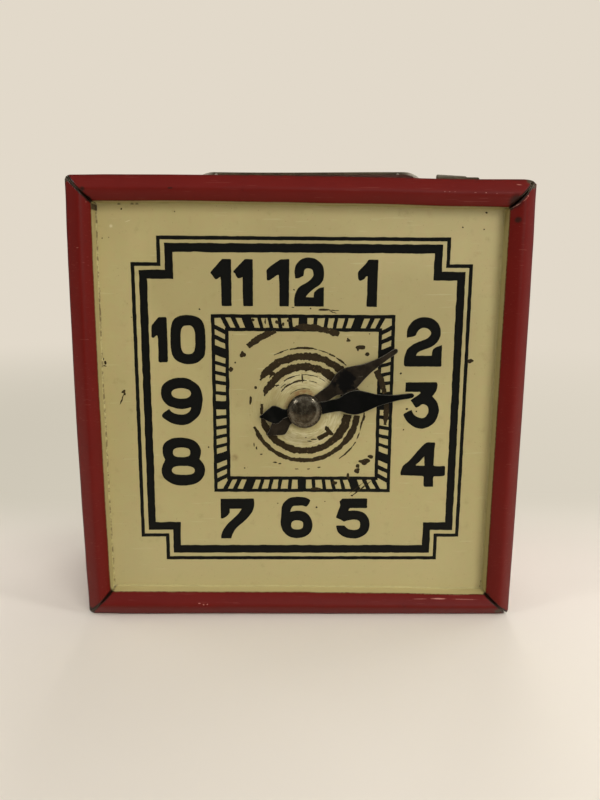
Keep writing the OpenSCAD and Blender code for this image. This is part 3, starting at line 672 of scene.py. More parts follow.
def counter(x, z, half_x, half_z, square):
    """A rounded box, as the outline of a superellipse."""
    result = []
    for angle in angles(7.5, 0, 48):
        c, s = math.cos(angle), math.sin(angle)
        result.append((x + half_x * math.copysign(abs(c) ** (2 / square), c),
                       z + half_z * math.copysign(abs(s) ** (2 / square), s)))
    return result


def stepped_frame(left, right, low, high, step_left, step_right, step_low, step_high, grow_x, grow_z):
    """A square outline whose four corners are turned in, moved outwards by grow."""
    x0, x1 = left - grow_x, right + grow_x
    z0, z1 = low - grow_z, high + grow_z
    a0, a1 = step_left - grow_x, step_right + grow_x
    b0, b1 = step_low - grow_z, step_high + grow_z
    return [(a0, z0), (a1, z0), (a1, b0), (x1, b0), (x1, b1), (a1, b1),
            (a1, z1), (a0, z1), (a0, b1), (x0, b1), (x0, b0), (a0, b0)]


def box_outline(x0, x1, z0, z1):
    return [(x0, z0), (x1, z0), (x1, z1), (x0, z1)]


def border_print():
    """A thin and a thick line round the dial, both with their corners turned in."""
    thin = (-25.95, 26.5, 9.05, 61.35, -21.9, 22.9, 13.1, 57.35)
    thick = (-24.4, 25.05, 10.65, 59.9, -20.35, 21.35, 14.7, 55.8)
    layers = []
    for lines, half_x, half_z, fray in ((thin, 0.29, 0.29, 0.035), (thick, 0.63, 0.69, 0.05)):
        layers.append((INK, ragged(stepped_frame(*lines, half_x, half_z), 0.4, fray, 1.3, 1)))
        layers.append((CREAM, ragged(stepped_frame(*lines, -half_x, -half_z), 0.4, fray, 1.3, 2)))
    return layers


def track_print():
    """The square minute track: two lines with a tick for each minute between them."""
    outer, inner = (-14.0, 14.98, 20.65, 49.75), (-11.85, 12.95, 22.75, 47.65)
    line, middle = 0.56, (0.42, 35.2)
    places = (0, 1.95, 3.65, 5.15, 6.7, 8.65, 10.65, 12.2)
    widths = (1.4, 0.6, 0.6, 0.6, 0.6, 1.55, 0.75, 0.75)
    # A tick's corners: which end of it, which side, and the line that it starts or ends at
    corners = ((-1, -1, inner), (-1, 1, inner), (1, 1, outer), (1, -1, outer))
    layers = []
    for seed, (x0, x1, z0, z1) in ((3, outer), (5, inner)):
        hollow = box_outline(x0 + line, x1 - line, z0 + line, z1 - line)
        layers += [(INK, ragged(box_outline(x0, x1, z0, z1), 0.4, 0.04, 1.1, seed)),
                   (CREAM, ragged(hollow, 0.4, 0.04, 1.1, seed + 1))]
    for place, width in zip(places, widths):
        for offset in {place, -place}:
            lean = 0.09 * offset
            for axis, side, wall in ((0, 1, 3), (0, -1, 2), (1, 1, 1), (1, -1, 0)):
                tick = [(middle[axis] + (offset + end * lean / 2) + half * width / 2,
                         box[wall] - side * 0.2) for end, half, box in corners]
                if axis:
                    tick = [(z, x) for x, z in tick]
                layers.append((INK, ragged(tick, 0.2, 0.035, 0.8, 7 + axis)))
    return layers


def numeral_print():
    layers = [(INK, ragged(rounded(text), 0.16, 0.02, 0.6, 9)) for text in NUMERALS.values()]
    layers += [(CREAM, ragged(counter(*place), 0.2, 0.02, 0.6, 10)) for place in COUNTERS]
    layers.append((CREAM, ragged(rounded(FOUR_COUNTER), 0.16, 0.02, 0.6, 11)))
    return layers


def worn_rings():
    """Rings that the turning hands have scratched through the paint. Each has a middle, a radius, a
    width, the angles of its ends, and how ragged it is. Some have the widths of their ends too."""
    arcs = rows("""0.8,34.6,6.85,1.2,-72,78,0.16,0.2,1 0.8,34.6,6.93,1.1,97,262,0.12,1.3,0.4
        0.8,34.6,7,1.45,97,140,0.12,1.3,0.9 0.8,34.6,6.93,0.5,262,277,0.08,0.4,0.4
        0.75,34.65,8.52,1.15,-57,80,0.13,0.35,1 0.75,34.65,8.58,0.7,98,250,0.1,1,0.45
        0.75,34.65,8.6,1.05,97,135,0.1,1,0.6 0.4,34.15,13.67,1,-39.5,-18,0.12,0.9,0.4
        0.4,34.15,13.67,1.05,-6.5,24.7,0.14,0.3,0.8 0.4,34.15,13.6,0.95,60,77,0.12,0.9,0.7
        0.4,34.15,13.6,0.85,82,99,0.12,0.8,0.6 0.5,34.6,10,0.4,93,101,0.14
        0.75,34.65,9.1,0.25,60,76,0.1 0.5,34.6,9.9,0.3,-28,-14,0.06 0.5,34.6,9.9,0.32,-12.5,13,0.06
        0.5,34.6,9.9,0.2,14,24,0.05 0.5,34.6,9.9,0.34,24.5,31,0.08 0.5,34.6,9.9,0.3,32,44,0.07
        0.5,34.6,10.2,0.28,122,144,0.06 0.75,34.65,5.6,0.2,-36,-8,0.05 0.75,34.65,5.6,0.18,-4,22,0.05
        0.75,34.65,5.6,0.16,25,36,0.05 0.75,34.65,4.75,0.26,-52,4,0.07 0.75,34.65,4.75,0.2,8,24,0.05
        0.75,34.65,5.15,0.2,-48,-36,0.07 0.75,34.65,3.45,0.12,-42,14,0.04""")
    return [(RUST, arc_patch((x, z), radius, width, start, end, seed, fray, ends))
            for seed, (x, z, radius, width, start, end, fray, *ends) in enumerate(arcs)]


def worn_spots():
    """Chips, spots and scratches in the dial's paint."""
    spots = rows("""7.6,45.8,0.3,0.3 9.5,44.65,0.75,0.4 9.2,44.5,0.3,0.5 10.6,43.55,0.35,0.25
        -9.1,43.4,0.4,0.5 -10.3,42.1,0.2,0.2 -11,41.1,0.35,0.4 10.5,25.8,0.85,0.5 9.6,25.1,0.3,0.3
        9.5,24.4,0.45,0.4 11.5,26.7,0.5,0.3 8,23.3,0.25,0.45 -7.9,36.2,0.25,0.75 -7.1,38.1,0.2,0.3
        -3.5,38.5,0.35,0.15 0.35,39.9,0.13,0.7 2.4,29.7,0.5,0.15 1.6,29.35,0.35,0.1 -4.5,40.3,0.45,0.3
        -5.4,38.2,0.3,0.35 1,30.07,0.1,0.1 -8.94,24.76,0.12,0.12 10.94,46.76,0.14,0.1 -1,45.3,0.08,0.08
        27.2,42.6,0.55,0.45 -7.4,48.9,0.3,0.2 -5.5,48.6,0.14,0.45 -1.8,48.8,0.3,0.2 -3.6,48.55,0.35,0.25
        -2.7,48.2,0.2,0.25 2.7,21.2,0.8,0.25 5.9,22.2,0.5,0.4 -1.2,50.85,0.3,0.08 1.6,50.7,0.14,0.12
        3.8,50.5,0.8,0.16 8.75,20.05,0.2,0.16 -0.97,53.57,0.12,0.12 -14.8,28.25,0.13,0.13
        -3.54,18.67,0.12,0.12 2.9,18,0.18,0.18 4.3,19,0.1,0.1 16.1,40.5,0.17,0.16 16.9,31.25,0.14,0.13
        17.3,34.7,0.2,0.17 18.9,34.3,0.14,0.13 -15.8,50.5,0.13,0.13 -31.4,51,0.2,0.22 -31.2,53.2,0.12,0.15
        -31.2,42.6,0.22,0.2 -30.85,42.1,0.2,0.3 -31,41.5,0.25,0.1 -28.2,37.4,0.34,0.26 -28,37,0.2,0.25
        -26.4,49.2,0.09,0.09 -30.4,61.2,0.1,0.1 -29.4,61.3,0.07,0.07 -19.2,65.2,0.12,0.1
        -27.3,65.5,0.13,0.13 24.9,63.2,0.14,0.12 28.2,62.9,0.13,0.12 28.4,65.4,0.17,0.14 31,3.9,0.16,0.14
        -4,25.7,0.35,0.1 -3.2,25.5,0.25,0.08 -0.4,24.6,0.35,0.09 1.5,24.6,0.3,0.09 3.3,24.9,0.35,0.1
        -7,28.1,0.1,0.3 -7.4,28.7,0.1,0.3 -6.2,27.1,0.25,0.12""")
    streaks = rows("""4.4,50.45,6.1,50.42,0.16 4.5,50.35,5.7,49.95,0.14 8.6,19.9,11.9,22.6,0.2
        8.3,20.4,11.3,22.9,0.14 10.3,33.5,9.8,31,0.3 9.75,30.8,9.3,29.6,0.22 -28.15,37,-28.85,35.2,0.22
        -4.9,39.6,-4.2,40.5,0.3 -4.3,38.8,-3.6,38.2,0.16 3.2,40.6,4.2,39.7,0.14""")
    flake = """4.2,32.1 4.75,31.6 5,31.1 5.5,30.6 5.4,30.2 4.7,30.25 4.3,29.9 3.4,29.55 2.8,29.8 3,30.3
        3.8,30.7 4.2,30.9 4,31.4"""
    layers = [(RUST, blob(x, z, rx, rz, seed)) for seed, (x, z, rx, rz) in enumerate(spots)]
    layers.append((RUST, ragged(rounded(flake), 0.12, 0.13, 0.5, 12)))
    return layers + [(RUST, streak(*line, seed)) for seed, line in enumerate(streaks)]


# Pressed sheets

def boss_rise(x, z):
    """Height of the boss above the dial, with soft bends at its top and foot."""
    radius = math.dist((x, z), HUB)
    straight = min(1.0, max(0.0, (BOSS_FOOT_R - radius) / (BOSS_FOOT_R - BOSS_TOP_R)))
    return BOSS_H * lerp(straight, ease(0, 1, straight), 0.6)


def painted_plate(edge, layers, radii=()):
    """Triangles of a flat plate inside edge, and the paint of the last layer over each of them.
    A paint of None leaves a hole. Rings round the arbor, with these radii, get vertices."""
    points, faces, loops = [], [], []
    for _, outline in [(CREAM, edge)] + layers:
        area = sum(a[0] * b[1] - b[0] * a[1] for a, b in zip(outline, outline[1:] + outline[:1]))
        faces.append(list(range(len(points), len(points) + len(outline))))
        points += outline if area > 0 else outline[::-1]
    count = 120
    for radius in radii:
        first = len(points)
        points += [on_clock(HUB, radius, 360 / count * k) for k in range(count)]
        loops += [(first + k, first + (k + 1) % count) for k in range(count)]
    paints = [CREAM] + [paint for paint, _ in layers]
    found = delaunay_2d_cdt([Vector(p) for p in points], loops, faces, 1, 1e-5, True)
    verts, triangles, owners = found[0], found[2], found[5]
    kept, indices = [], []
    for triangle, owner in zip(triangles, owners):
        paint = paints[max(owner)] if owner else None
        if paint is not None:
            kept.append(list(triangle))
            indices.append(paint)
    return [tuple(v) for v in verts], kept, indices


def bead_rise(inward):
    """Height of the bead: two slightly bulging flanks that meet in a rounded ridge."""
    aside = abs(inward - BEAD_W / 2) / (BEAD_W / 2)
    side = math.hypot(1, RIDGE_SOFT)
    gable = (side - math.hypot(aside, RIDGE_SOFT)) / (side - RIDGE_SOFT)
    return BEAD_H * gable + FLANK_BULGE * aside ** 2 * (1 - aside)


def rim_profile():
    """Section of a rim bar from the dial's edge outwards, as (distance from the outer edge, depth)."""
    foot, bend = 0.3, 0.3
    section = [(BEAD_W + foot * (1 - math.sin(a)), DIAL_RECESS - foot * (1 - math.cos(a)))
               for a in angles(15, 0, 7)]
    section += [(BEAD_W, y) for y in (1.5, 1.1, 0.75, 0.45, 0.2)]
    for k in range(25):
        t = lerp(-1, 1, k / 24)
        inward = BEAD_W / 2 * (1 - math.copysign(abs(t) ** 1.25, t))
        section.append((inward, -bead_rise(inward)))
    section += [(0, y) for y in (0.25, 0.7)]
    section += [(bend * (1 - math.cos(a)), RIM_WALL - bend * (1 - math.sin(a))) for a in angles(18, 0, 6)]
    section += [(FLANGE_OUT - 0.15, RIM_WALL), (FLANGE_OUT, RIM_WALL + 0.15), (FLANGE_OUT, TONGUE_Y + SHEET)]
    return section


# Half-widths of the slits at the bars' ends, in the middle of the bead and at the outer tip.
# Bars are numbered bottom, left, top, right.
SLITS = {(0, -1): (0.03, 0.1), (0, 1): (0.05, 0.14), (1, -1): (0.05, 0.14), (1, 1): (0.03, 0.1),
         (2, -1): (0.03, 0.04), (2, 1): (0.05, 0.2), (3, -1): (0.07, 0.2), (3, 1): (0.28, 0.06)}
# Half-axes of the outer corners' rounding: bottom left, bottom right, top right, top left
CORNERS = {(-1, -1): (0.6, 0.9), (1, -1): (1.9, 0.45), (1, 1): (2.1, 0.65), (-1, 1): (1.0, 0.55)}
# How far inside its bar's middle the worn ridge is, in the same order as the bars
RIDGE_IN = (0.15, 0.4, 0.15, 0.0)


def bar_end(bar, side, inward, depth):
    """Half-length of a rim bar at a point of its section, cut back there by the mitre's slit."""
    if inward < BEAD_W / 2 and depth > RIM_WALL + 0.1:
        return FLANGE_HALF
    middle, tip = SLITS[bar, side]
    if inward >= BEAD_W - 1e-6:
        gap = 0.8 * min(middle, 0.08) * ease(0.9, 0.1, depth)
    else:
        gap = lerp(middle, tip, ease(1.5, 0.1, inward))
    fray = 1 + 0.4 * wobble(inward, depth, 0.35, bar * 3 + side)
    return FACE_MID - inward - gap * fray


def round_corner(x, z, inward):
    """Draws a point of the rim in to the face's rounded outer corner."""
    side = (1 if x > 0 else -1, 1 if z > FACE_MID else -1)
    half_x, half_z = CORNERS[side]
    reach_x, reach_z = half_x - inward, half_z - inward
    past_x = abs(x) - (FACE_MID - half_x)
    past_z = abs(z - FACE_MID) - (FACE_MID - half_z)
    if min(reach_x, reach_z, past_x, past_z) <= 0.01:
        return x, z
    pull = 1 / max(1.0, math.hypot(past_x / reach_x, past_z / reach_z))
    return (side[0] * (FACE_MID - half_x + past_x * pull),
            FACE_MID + side[1] * (FACE_MID - half_z + past_z * pull))


def around(bar, x, z):
    """Turns a place on the bottom bar to another bar. Z is measured from the base."""
    z -= FACE_MID
    for _ in range(bar):
        x, z = z, -x
    return x, z + FACE_MID


# How far the worn rim's edges are bent outwards: place along the bar, outer edge, inner edge.
# The place is X on the bottom and top bars and Z on the others.
BOWS = [
    rows("""-34,-0.2,-0.3 -27,-0.05,-0.28 -12,-0.1,-0.21 0,-0.04,-0.2 5,0,-0.08 15,0,0 26,0,0.25
        34,0,0.25"""),
    rows("""2,-0.12,-0.1 9,0.02,0 21,0.15,0.1 32,0.23,0.12 38,0.21,0.18 50,0.13,0.13 57,0.07,0.08
        61,0,0 68,-0.16,-0.1"""),
    rows("""-34,0.12,0.12 -28,0.21,0.16 -19,0.25,0.26 -4,0.25,0.15 5,0.2,0.05 10,0.12,0.02
        24,-0.05,-0.24 34,0,-0.3"""),
    rows("""2,0.26,0 15,0.31,0 32,0.3,0 50,0.24,0 60,0.14,0 68,0,0"""),
]


def bow(bar, place, gap):
    """How far a bar is bent outwards at a place along it, gap inside its outer edge."""
    share = min(1.0, gap / BEAD_W)
    for before, after in zip(BOWS[bar], BOWS[bar][1:]):
        if place <= after[0]:
            break
    t = ease(before[0], after[0], place)
    return lerp(lerp(before[1], after[1], t), lerp(before[2], after[2], t), share)


def bowed(x, z, inward, depth):
    """A point of the rim, moved by the bends of the bars that it is in."""
    keep = 1.0 if inward > 1 else ease(TONGUE_Y, RIM_WALL, depth)
    move_x = move_z = 0.0
    for bar, gap, place in ((0, z, x), (1, x + FACE_MID, z), (2, FACE_W - z, x), (3, FACE_MID - x, z)):
        amount = keep * ease(9, 4.5, gap) * bow(bar, place, gap)
        move_x += amount * (0, -1, 0, 1)[bar]
        move_z += amount * (-1, 0, 1, 0)[bar]
    return x + move_x, z + move_z


def rim_bars():
    """Vertices, quads and zone colours of the four bars, and the outline of the plate inside them."""
    section = rim_profile()
    samples = 72
    along = [math.sin(math.pi / 2 * lerp(-1, 1, k / samples)) for k in range(samples + 1)]
    along = [lerp(s, lerp(-1, 1, k / samples), 0.6) for k, s in enumerate(along)]
    verts, quads, zones, edge = [], [], [], []
    # Anticlockwise round the face: bottom, right, top, left
    for bar in (0, 3, 2, 1):
        first = len(verts)
        for row, (inward, depth) in enumerate(section):
            if 0 < inward < BEAD_W and depth < 0:
                inward += RIDGE_IN[bar] * 4 * inward / BEAD_W * (1 - inward / BEAD_W)
            ends = [bar_end(bar, side, inward, depth) for side in (-1, 1)]
            for s in along:
                u = s * ends[0 if s < 0 else 1]
                sink = 0.03 * (1 + wobble(u, bar * 40, 9, 3)) * (0.05 < inward < BEAD_W - 0.05)
                x, z = bowed(*round_corner(*around(bar, u, inward), inward), inward, depth)
                verts.append((x, depth + sink, z))
                to_end = ends[0 if s < 0 else 1] * (1 - abs(s))
                red = 1.0 if inward < BEAD_W - 0.01 else 0.5 * (depth < 0.3)
                slit = math.exp(-max(0.0, to_end - 0.03) / 0.16)
                slit *= 1.0 if inward < BEAD_W - 0.01 else ease(0.9, 0.1, depth)
                brim = ease(0.3, 0.05, inward) * ease(1.0, 0.2, depth)
                foot = ease(1.95, 2.15, depth) * (inward > 1) * (1.0 if bar == 1 else 0.12)
                zones.append((red, slit, brim, foot))
                if row == 0:
                    edge.append((x, z))
        for row in range(len(section) - 1):
            for k in range(samples):
                a = first + row * (samples + 1) + k
                b = a + samples + 1
                quads.append([a, b, b + 1, a + 1])
        edge.pop()
    return verts, quads, zones, edge


def ribbon(path, thickness, low, high, place):
    """A closed strip that follows a path in one plane, thick to the path's right, from low to high."""
    verts, faces = [], []
    for i, (a, b) in enumerate(path):
        before, after = path[max(0, i - 1)], path[min(len(path) - 1, i + 1)]
        ahead = Vector((after[0] - before[0], after[1] - before[1])).normalized()
        right = Vector((ahead.y, -ahead.x)) * thickness
        for u in (low, high):
            verts += [place(a, b, u), place(a + right.x, b + right.y, u)]
    for i in range(len(path) - 1):
        p, q = 4 * i, 4 * i + 4
        faces += [[p, q, q + 1, p + 1], [p + 2, p + 3, q + 3, q + 2], [p, p + 2, q + 2, q],
                  [p + 1, q + 1, q + 3, p + 3]]
    last = 4 * (len(path) - 1)
    faces += [[0, 1, 3, 2], [last, last + 2, last + 3, last + 1]]
    return verts, faces


def prism(outline, front, back):
    """A solid between two depths whose section is an outline in X and Z."""
    count = len(outline)
    verts = [(x, front, z) for x, z in outline] + [(x, back, z) for x, z in outline]
    faces = [list(range(count)), list(range(2 * count - 1, count - 1, -1))]
    faces += [[k, k + count, (k + 1) % count + count, (k + 1) % count] for k in range(count)]
    return verts, faces


def folded_tongues():
    """The tongues that go out through the body's walls and are folded flat along them."""
    outer, bend = 0.06, 0.2
    path = [(TONGUE_Y + SHEET, FLANGE_OUT + SHEET), (TONGUE_Y + SHEET, outer + bend + SHEET)]
    path += [(TONGUE_Y + SHEET + bend * (1 - math.cos(a)), outer + SHEET + bend * (1 - math.sin(a)))
             for a in angles(22.5, 1, 5)]
    path += [(TONGUE_Y + TONGUE_L, outer + SHEET)]
    strips = []
    for bar in range(4):
        for middle in (-TONGUE_X, TONGUE_X):
            def place(depth, inward, u):
                x, z = around(bar, middle + u, inward)
                return x, depth, z

            if (bar, middle) != (2, -TONGUE_X):
                strips.append(ribbon(path, SHEET, -TONGUE_W / 2, TONGUE_W / 2, place))
    return joined(strips)


def lifted_tongue():
    """The tongue that has sprung up behind the rim's top edge, with one corner cut to a low step."""
    x0, x1, x2 = TONGUE_X - TONGUE_W / 2, TONGUE_X + TONGUE_W / 2, TONGUE_X + TONGUE_W / 2 + LIFT_STEP_W
    foot = FACE_W - FLANGE_OUT - SHEET
    high, low = FACE_W + LIFT_H, FACE_W + LIFT_STEP_H
    outline = [(x0, foot), (x2, foot), (x2, low - 0.15), (x2 - 0.2, low), (x1 + 0.15, low),
               (x1 - 0.02, high - 0.2), (x1 - 0.12, high - 0.1), (x0 + 0.15, high + 0.12), (x0, high - 0.02)]
    return prism(outline, TONGUE_Y, TONGUE_Y + SHEET)


def front_panel(materials):
    """The pressed front: the dial and the rim bars are one sheet, thickened inwards, with its tongues."""
    bar_verts, quads, zones, edge = rim_bars()
    layers = border_print() + track_print() + numeral_print() + worn_rings() + worn_spots()
    layers.append((None, [on_clock(HUB, SHANK_R + PANEL_PLAY, -7.5 * k) for k in range(48)]))
    radii = (2.5, 3.2, 3.7, 3.95, 4.15, 4.35, 4.6, 4.85, 5.1, 5.35, 5.6, 5.8, 5.95)
    plate, triangles, paints = painted_plate(edge, layers, radii)
    raised = [max(math.dist(plate[v], HUB) for v in t) < BOSS_FOOT_R + 0.01 for t in triangles]
    dial = [(x, DIAL_RECESS - boss_rise(x, z), z) for x, z in plate]
    verts, faces = joined([(bar_verts, quads), (dial, triangles)])
    finishes = [materials[name] for name in ("cream", "ink", "rubbed", "rim", "brown_tin")]
    sheet = new_piece("front_sheet", "case", (behind_rim(verts), faces), finishes,
                      [RIM] * len(quads) + paints, [True] * len(quads) + raised, nodes=("front_panel",))
    layer = sheet.data.color_attributes.new("zone", "FLOAT_COLOR", "POINT")
    for i, zone in enumerate(zones + [(0.0, 0.0, 0.0, 0.0)] * len(dial)):
        layer.data[i].color = zone
    work = bmesh.new()
    work.from_mesh(sheet.data)
    bmesh.ops.remove_doubles(work, verts=work.verts, dist=WELD * MM)
    work.to_mesh(sheet.data)
    work.free()
    solid = thicken(sheet, SHEET)
    solid.use_even_offset = True
    solid.thickness_clamp = 0.6
    solid.material_offset = len(finishes)
    solid.material_offset_rim = len(finishes)
    folded, lifted = folded_tongues(), lifted_tongue()
    verts, faces = joined([folded, lifted])
    tabs = new_piece("front_sheet_tongues", "case", (behind_rim(verts), faces),
                     [materials["red"], materials["brown_tin"]], [0] * len(folded[1]) + [1] * len(lifted[1]),
                     False)
    bevel(tabs, 0.05)


def behind_rim(verts):
    """Places whose Y is a depth behind the rim plane, in the frame's own Y."""
    return [(x, FRONT_Y + depth, z) for x, depth, z in verts]


# Hands, arbor and handle

BLADE = [(1.4, 1), (5.5, 1.05), (6.5, 1.52), (7.3, 1.82), (8.1, 1.94), (9, 1.84), (10.3, 1.42), (11.7, 0.96),
         (13.3, 0.66), (15, 0.45), (17.0, 0.4), (17.35, 0.28)]
BLADE_TIP = 17.5
TAIL = [(1.4, 0.78), (2.8, 0.64), (3.3, 0.72), (3.9, 1.12), (4.8, 1.48), (5.7, 1.05), (6.6, 0.42)]
TAIL_TIP = 7.25


def leaf(stations, tip, sign, belly=0.0, point=0.0):
    """Outline of a leaf from (distance, half-width) stations, as text that rounded() reads.
    Belly and point are how far the leaf's middle and its tip have been bent to the left."""
    def bend(reach):
        return belly * ease(1.4, 3.5, reach) * ease(13, 9, reach) + point * ease(9, 16, reach)

    def marks(side):
        return [f"{side * sign * w - bend(r):.3f},{sign * r:.3f}" + "!" * (i == 0)
                for i, (r, w) in enumerate(stations)]

    return rounded(" ".join(marks(1) + [f"{-bend(tip):.3f},{sign * tip:.3f}"] + marks(-1)[::-1]), 0.2)


def hand(name, node, depth, angle, bends, material):
    """A leaf hand with a leaf tail, cut from flat tin. Depth is its front face behind the rim plane."""
    disc = [on_clock((0, 0), HAND_DISC_R, -3.75 * k) for k in range(96)]
    hole = [on_clock((0, 0), SHANK_R + HAND_PLAY, -7.5 * k) for k in range(48)]
    shapes = [(CREAM, leaf(BLADE, BLADE_TIP, 1, *bends)), (CREAM, leaf(TAIL, TAIL_TIP, -1)), (None, hole)]
    points, triangles, _ = painted_plate(disc, shapes)
    cos_a, sin_a = math.cos(math.radians(angle)), math.sin(math.radians(angle))
    verts = [(HUB[0] + x * cos_a + z * sin_a, depth, HUB[1] - x * sin_a + z * cos_a) for x, z in points]
    piece = new_piece(name, node, (behind_rim(verts), triangles), [material], smooth=False,
                      nodes=(node,))
    thicken(piece, HAND_SHEET)
    bevel(piece, 0.045)


def lathe(profile, segments):
    """A turned shape on the arbor's axis from (radius, depth) points, first and last on the axis."""
    verts = [(HUB[0], profile[0][1], HUB[1])]
    for radius, depth in profile[1:-1]:
        ring = [on_clock(HUB, radius, -360 * k / segments) for k in range(segments)]
        verts += [(x, depth, z) for x, z in ring]
    verts.append((HUB[0], profile[-1][1], HUB[1]))
    last = 1 + (len(profile) - 3) * segments
    faces = []
    for k in range(segments):
        after = (k + 1) % segments
        faces += [[0, 1 + k, 1 + after], [last + k, len(verts) - 1, last + after]]
        faces += [[ring + k, ring + k + segments, ring + after + segments, ring + after]
                  for ring in range(1, last, segments)]
    return behind_rim(verts), faces


def arbor(material):
    """The domed rivet: dome, thin flat rim, shank, and the tail peened over the backing washer."""
    head, edge, dome_r, dome_h, head_r = 0.06, 0.22, 2.45, 0.95, 2.75
    ball = (dome_r ** 2 + dome_h ** 2) / (2 * dome_h)
    reach = math.asin(dome_r / ball)
    profile = [(ball * math.sin(reach * k / 14), head + ball - dome_h - ball * math.cos(reach * k / 14))
               for k in range(15)]
    profile += [(dome_r + 0.07, head - 0.01), (head_r - 0.08, head), (head_r - 0.02, head + 0.03),
                (head_r, head + 0.1), (head_r - 0.03, head + edge - 0.02), (head_r - 0.1, head + edge),
                (SHANK_R + 0.05, head + edge), (SHANK_R, head + edge + 0.05)]
    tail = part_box("hand_arbor")[1][1] / MM - FRONT_Y
    profile += [(SHANK_R, tail - 0.7), (1.4, tail - 0.68), (1.5, tail - 0.55), (1.45, tail - 0.35),
                (1.1, tail - 0.12), (0.6, tail - 0.02), (0, tail)]
    new_piece("arbor_rivet", "case", lathe(profile, 96), [material], nodes=("hand_arbor",))


def strap_handle(material):
    """The flat strap on the top. Its ends bend down and narrow to tabs clinched under the roof."""
    left, right, rise, thick, width, tab, clinch = -15.2, 18.4, 3.7, 0.45, 6.5, 4.0, 3.2
    sag, lean = 0.06, 0.14
    top, roof = FACE_W + rise, FACE_W - 0.44
    bend, foot, under = top - roof, roof + 0.03, roof - SHEET - 0.03 - thick
    path = [(left - bend, foot)]
    path += [(left - bend * math.cos(a + math.radians(5)), roof + bend * math.sin(a + math.radians(5)))
             for a in angles(8.5, 0, 11)]
    path += [(lerp(left, right, k / 8), top - sag * math.sin(math.pi * k / 8)) for k in range(9)]
    path += [(right + bend * math.sin(a), roof + bend * math.cos(a)) for a in angles(8.5, 1, 11)]
    path += [(right + bend, foot)]

    def place(x, z, u):
        return x, u, z + lean * ease(roof, top, z) * lerp(-1, 1, ease(left, right, x))

    shapes = [ribbon(path, thick, -width / 2, width / 2, place)]
    for outside, side in ((left - bend, 1), (right + bend, -1)):
        for reach, height in ((thick, foot + 0.02), (clinch, under + thick)):
            ends = sorted((outside, outside + side * reach))
            shapes.append(prism(box_outline(*ends, under, height), -tab / 2, tab / 2))
    piece = new_piece("handle_strap", "case", joined(shapes), [material], smooth=False,
                      nodes=("strap_handle",))
    bevel(piece, 0.1, 3)


# Stage, lamps and camera

def pale_floor():
    """Pale matt floor, less bright in the light that it throws back. Behind the bank and far from it
    it glows: evenly far off, so it has no horizon, and close by with a painted shade, darker on the left."""
    look = Look("pale_floor")
    path = look.add("LightPath")
    seen = path["Is Camera Ray"] | path["Is Glossy Ray"] | path["Is Transmission Ray"]
    look.base(look.noise(60, 2), (244, 235, 221), (248, 239, 226))
    look.colour = look.mix(seen, srgb(184, 177, 165), look.colour)
    look.finish(0.85, specular=0.05)
    x, depth, _ = look.split(look.point())
    radius = look.vector("LENGTH", look.point((1, 1, 0)))["Value"]
    share = seen * (depth.step(-8, 40) | radius.step(250, 600))
    # Painted shade on the glow close to the bank, darker on its left
    shade = look.mix(x.step(-140, 140), srgb(205, 198, 182), srgb(219, 211, 195))
    glow = look.add("Emission", {"Color": look.mix(radius.step(120, 500), shade, srgb(226, 217, 202))})
    blend = look.add("MixShader", {0: share, 1: Value(look, look.surface), 2: glow})
    look.feed(look.tree.nodes["Material Output"].inputs["Surface"], blend)
    return look.material


def floor_piece(name, path, material, turns=0):
    """A pale sheet 3 m wide that follows a path in Y and Z, or a bowl that turns the path round Z."""
    half = 1.5
    if turns:
        steps = [math.tau * k / turns for k in range(turns + 1)]
        verts = [(y * math.sin(a), y * math.cos(a), z) for y, z in path for a in steps]
    else:
        verts = [(x, y, z) for y, z in path for x in (-half, half)]
    row = turns + 1 if turns else 2
    faces = [[row * k + j, row * k + j + 1, row * k + row + j + 1, row * k + row + j]
             for k in range(len(path) - 1) for j in range(row - 1)]
    floor = new_object(name, verts, faces, [material])
    return floor


def stage():
    """A pale floor that curves up into a backdrop. The floor in front isn't mirrored in the dial, and
    the bowl round it all is there for the camera alone."""
    front, near_edge, back, bend, height = -1.5, -0.1, 0.6, 0.35, 0.9
    path = [(lerp(near_edge, back, k / 6), 0.0) for k in range(7)]
    path += [(back + bend * math.sin(a), bend * (1 - math.cos(a))) for a in angles(9, 1, 11)]
    material = pale_floor()
    floor_piece("floor", path + [(back + bend, height)], material)
    floor_piece("front_floor", [(front, 0.0), (near_edge, 0.0)], material).visible_glossy = False
    radius, bend, height = 1.45, 0.45, 2.2
    path = [(radius + bend * math.sin(a), bend * (1 - math.cos(a))) for a in angles(15, 0, 7)]
    bowl = floor_piece("bowl", path + [(radius + bend, height)], material, 48)
    bowl.visible_glossy = bowl.visible_diffuse = bowl.visible_shadow = False


# Square soft lamps: azimuth, elevation, distance, size, power, and whether reflections show it
LAMPS = {
    "softbox": (22, 19, 0.5, 0.34, 1.76, False),
    "left_spot": (-63, 37, 0.6, 0.06, 0.4, True),
    "right_spot": (67, 42, 0.6, 0.06, 0.5, True),
    "left_fill": (-105, 20, 0.6, 0.4, 0.8, False),
    "right_fill": (95, 15, 0.7, 0.8, 0.6, True),
    "back_fill": (172, 16, 0.6, 0.4, 2.6, False),
    "right_back_fill": (125, 20, 0.7, 0.4, 1.2, False),
    "ceiling": (0, 52, 0.8, 0.9, 0.75, True),
}


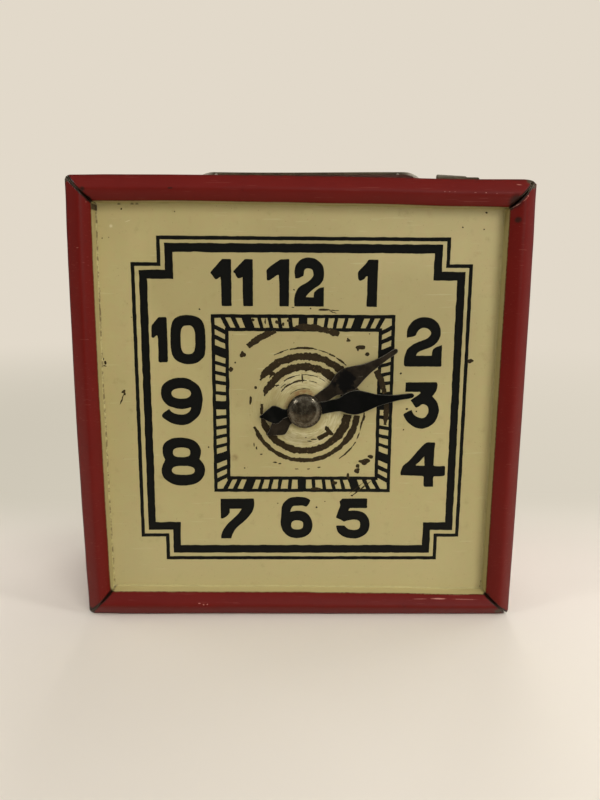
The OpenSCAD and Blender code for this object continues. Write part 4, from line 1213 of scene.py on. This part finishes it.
def lamps():
    middle = Vector((0, -0.02, 0.035))
    for name, (azimuth, elevation, distance, size, power, seen) in LAMPS.items():
        lamp = bpy.data.lights.new(name, "AREA")
        lamp.size = size
        lamp.energy = power
        lamp.color = (1.0, 0.985, 0.95) if name == "softbox" else (1, 1, 1)
        place = middle + aim(azimuth, elevation) * distance
        thing = bpy.data.objects.new(name, lamp)
        thing.location = place
        thing.rotation_euler = (middle - place).to_track_quat("-Z", "Y").to_euler()
        thing.visible_glossy = seen
        bpy.context.scene.collection.objects.link(thing)
    world = bpy.data.worlds.new("studio")
    world.use_nodes = True
    background = world.node_tree.nodes["Background"]
    background.inputs["Color"].default_value = (0.97, 0.95, 0.92, 1)
    background.inputs["Strength"].default_value = 0.18
    bpy.context.scene.world = world


def aim(azimuth, elevation):
    """Direction from the bank: azimuth 0 is in front of the dial, 90 is to its right."""
    turn, rise = math.radians(azimuth), math.radians(elevation)
    return Vector((math.sin(turn) * math.cos(rise), -math.cos(turn) * math.cos(rise), math.sin(rise)))


def camera():
    """The photograph's view: a little above the rim's middle and turned down and to the right."""
    place = Vector((-1.461, -122.525, 55.403)) * MM
    pitch, yaw, roll = math.radians(-10.689), math.radians(-0.838), math.radians(0.368)
    lens = bpy.data.cameras.new("photo_view")
    lens.sensor_width = 36
    lens.lens = 29.115
    lens.clip_start = 0.005
    thing = bpy.data.objects.new("photo_view", lens)
    turn = Matrix.Rotation(yaw, 4, "Z") @ Matrix.Rotation(math.pi / 2 + pitch, 4, "X")
    turn = turn @ Matrix.Rotation(roll, 4, "Z")
    thing.matrix_world = Matrix.Translation(place) @ turn
    bpy.context.scene.collection.objects.link(thing)
    bpy.context.scene.camera = thing


# The finishes of the CAD nodes that stay
FINISHES = {
    "red": ("body_shell", "back_panel", "trap_door"),
    "tin": ("hand_spring_washer", "hand_backing_washer", "door_hinge_pin", "lock_case",
            "lock_case_rivets", "lock_bolt", "bolt_guide_stud"),
    "steel": ("lock_spring",),
    "brass": ("hand_spacer", "keyhole_escutcheon", "escutcheon_rivets", "key_post"),
}


def main():
    bpy.context.scene.view_settings.view_transform = "Standard"
    camera()
    lamps()
    stage()
    materials = {"cream": cream_paint(), "ink": printed_ink(), "rubbed": rubbed_tin(), "rim": rim_paint(),
                 "red": red_paint(), "tin": bare_tin(), "brown_tin": brown_tin(), "steel": dark_steel(),
                 "brass": brass()}
    front_black = hand_black("black_japan", (5, 6, 5), (18, 18, 15), (8, 35.5), 0.5, 0.75)
    back_black = hand_black("worn_black_japan", (26, 21, 14), (46, 39, 29), (7.0, 39.4), 0.35, 0.65)
    front_panel(materials)
    hand("front_hand", "minute_hand", 0.34, 81.8, (0.2, 0.06), front_black)
    hand("back_hand", "hour_hand", 0.86, 55.3, (0.15, -0.28), back_black)
    arbor(materials["steel"])
    strap_handle(materials["brown_tin"])
    for finish, names in FINISHES.items():
        for name in names:
            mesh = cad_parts[name].data
            mesh.materials.clear()
            mesh.materials.append(materials[finish])


main()
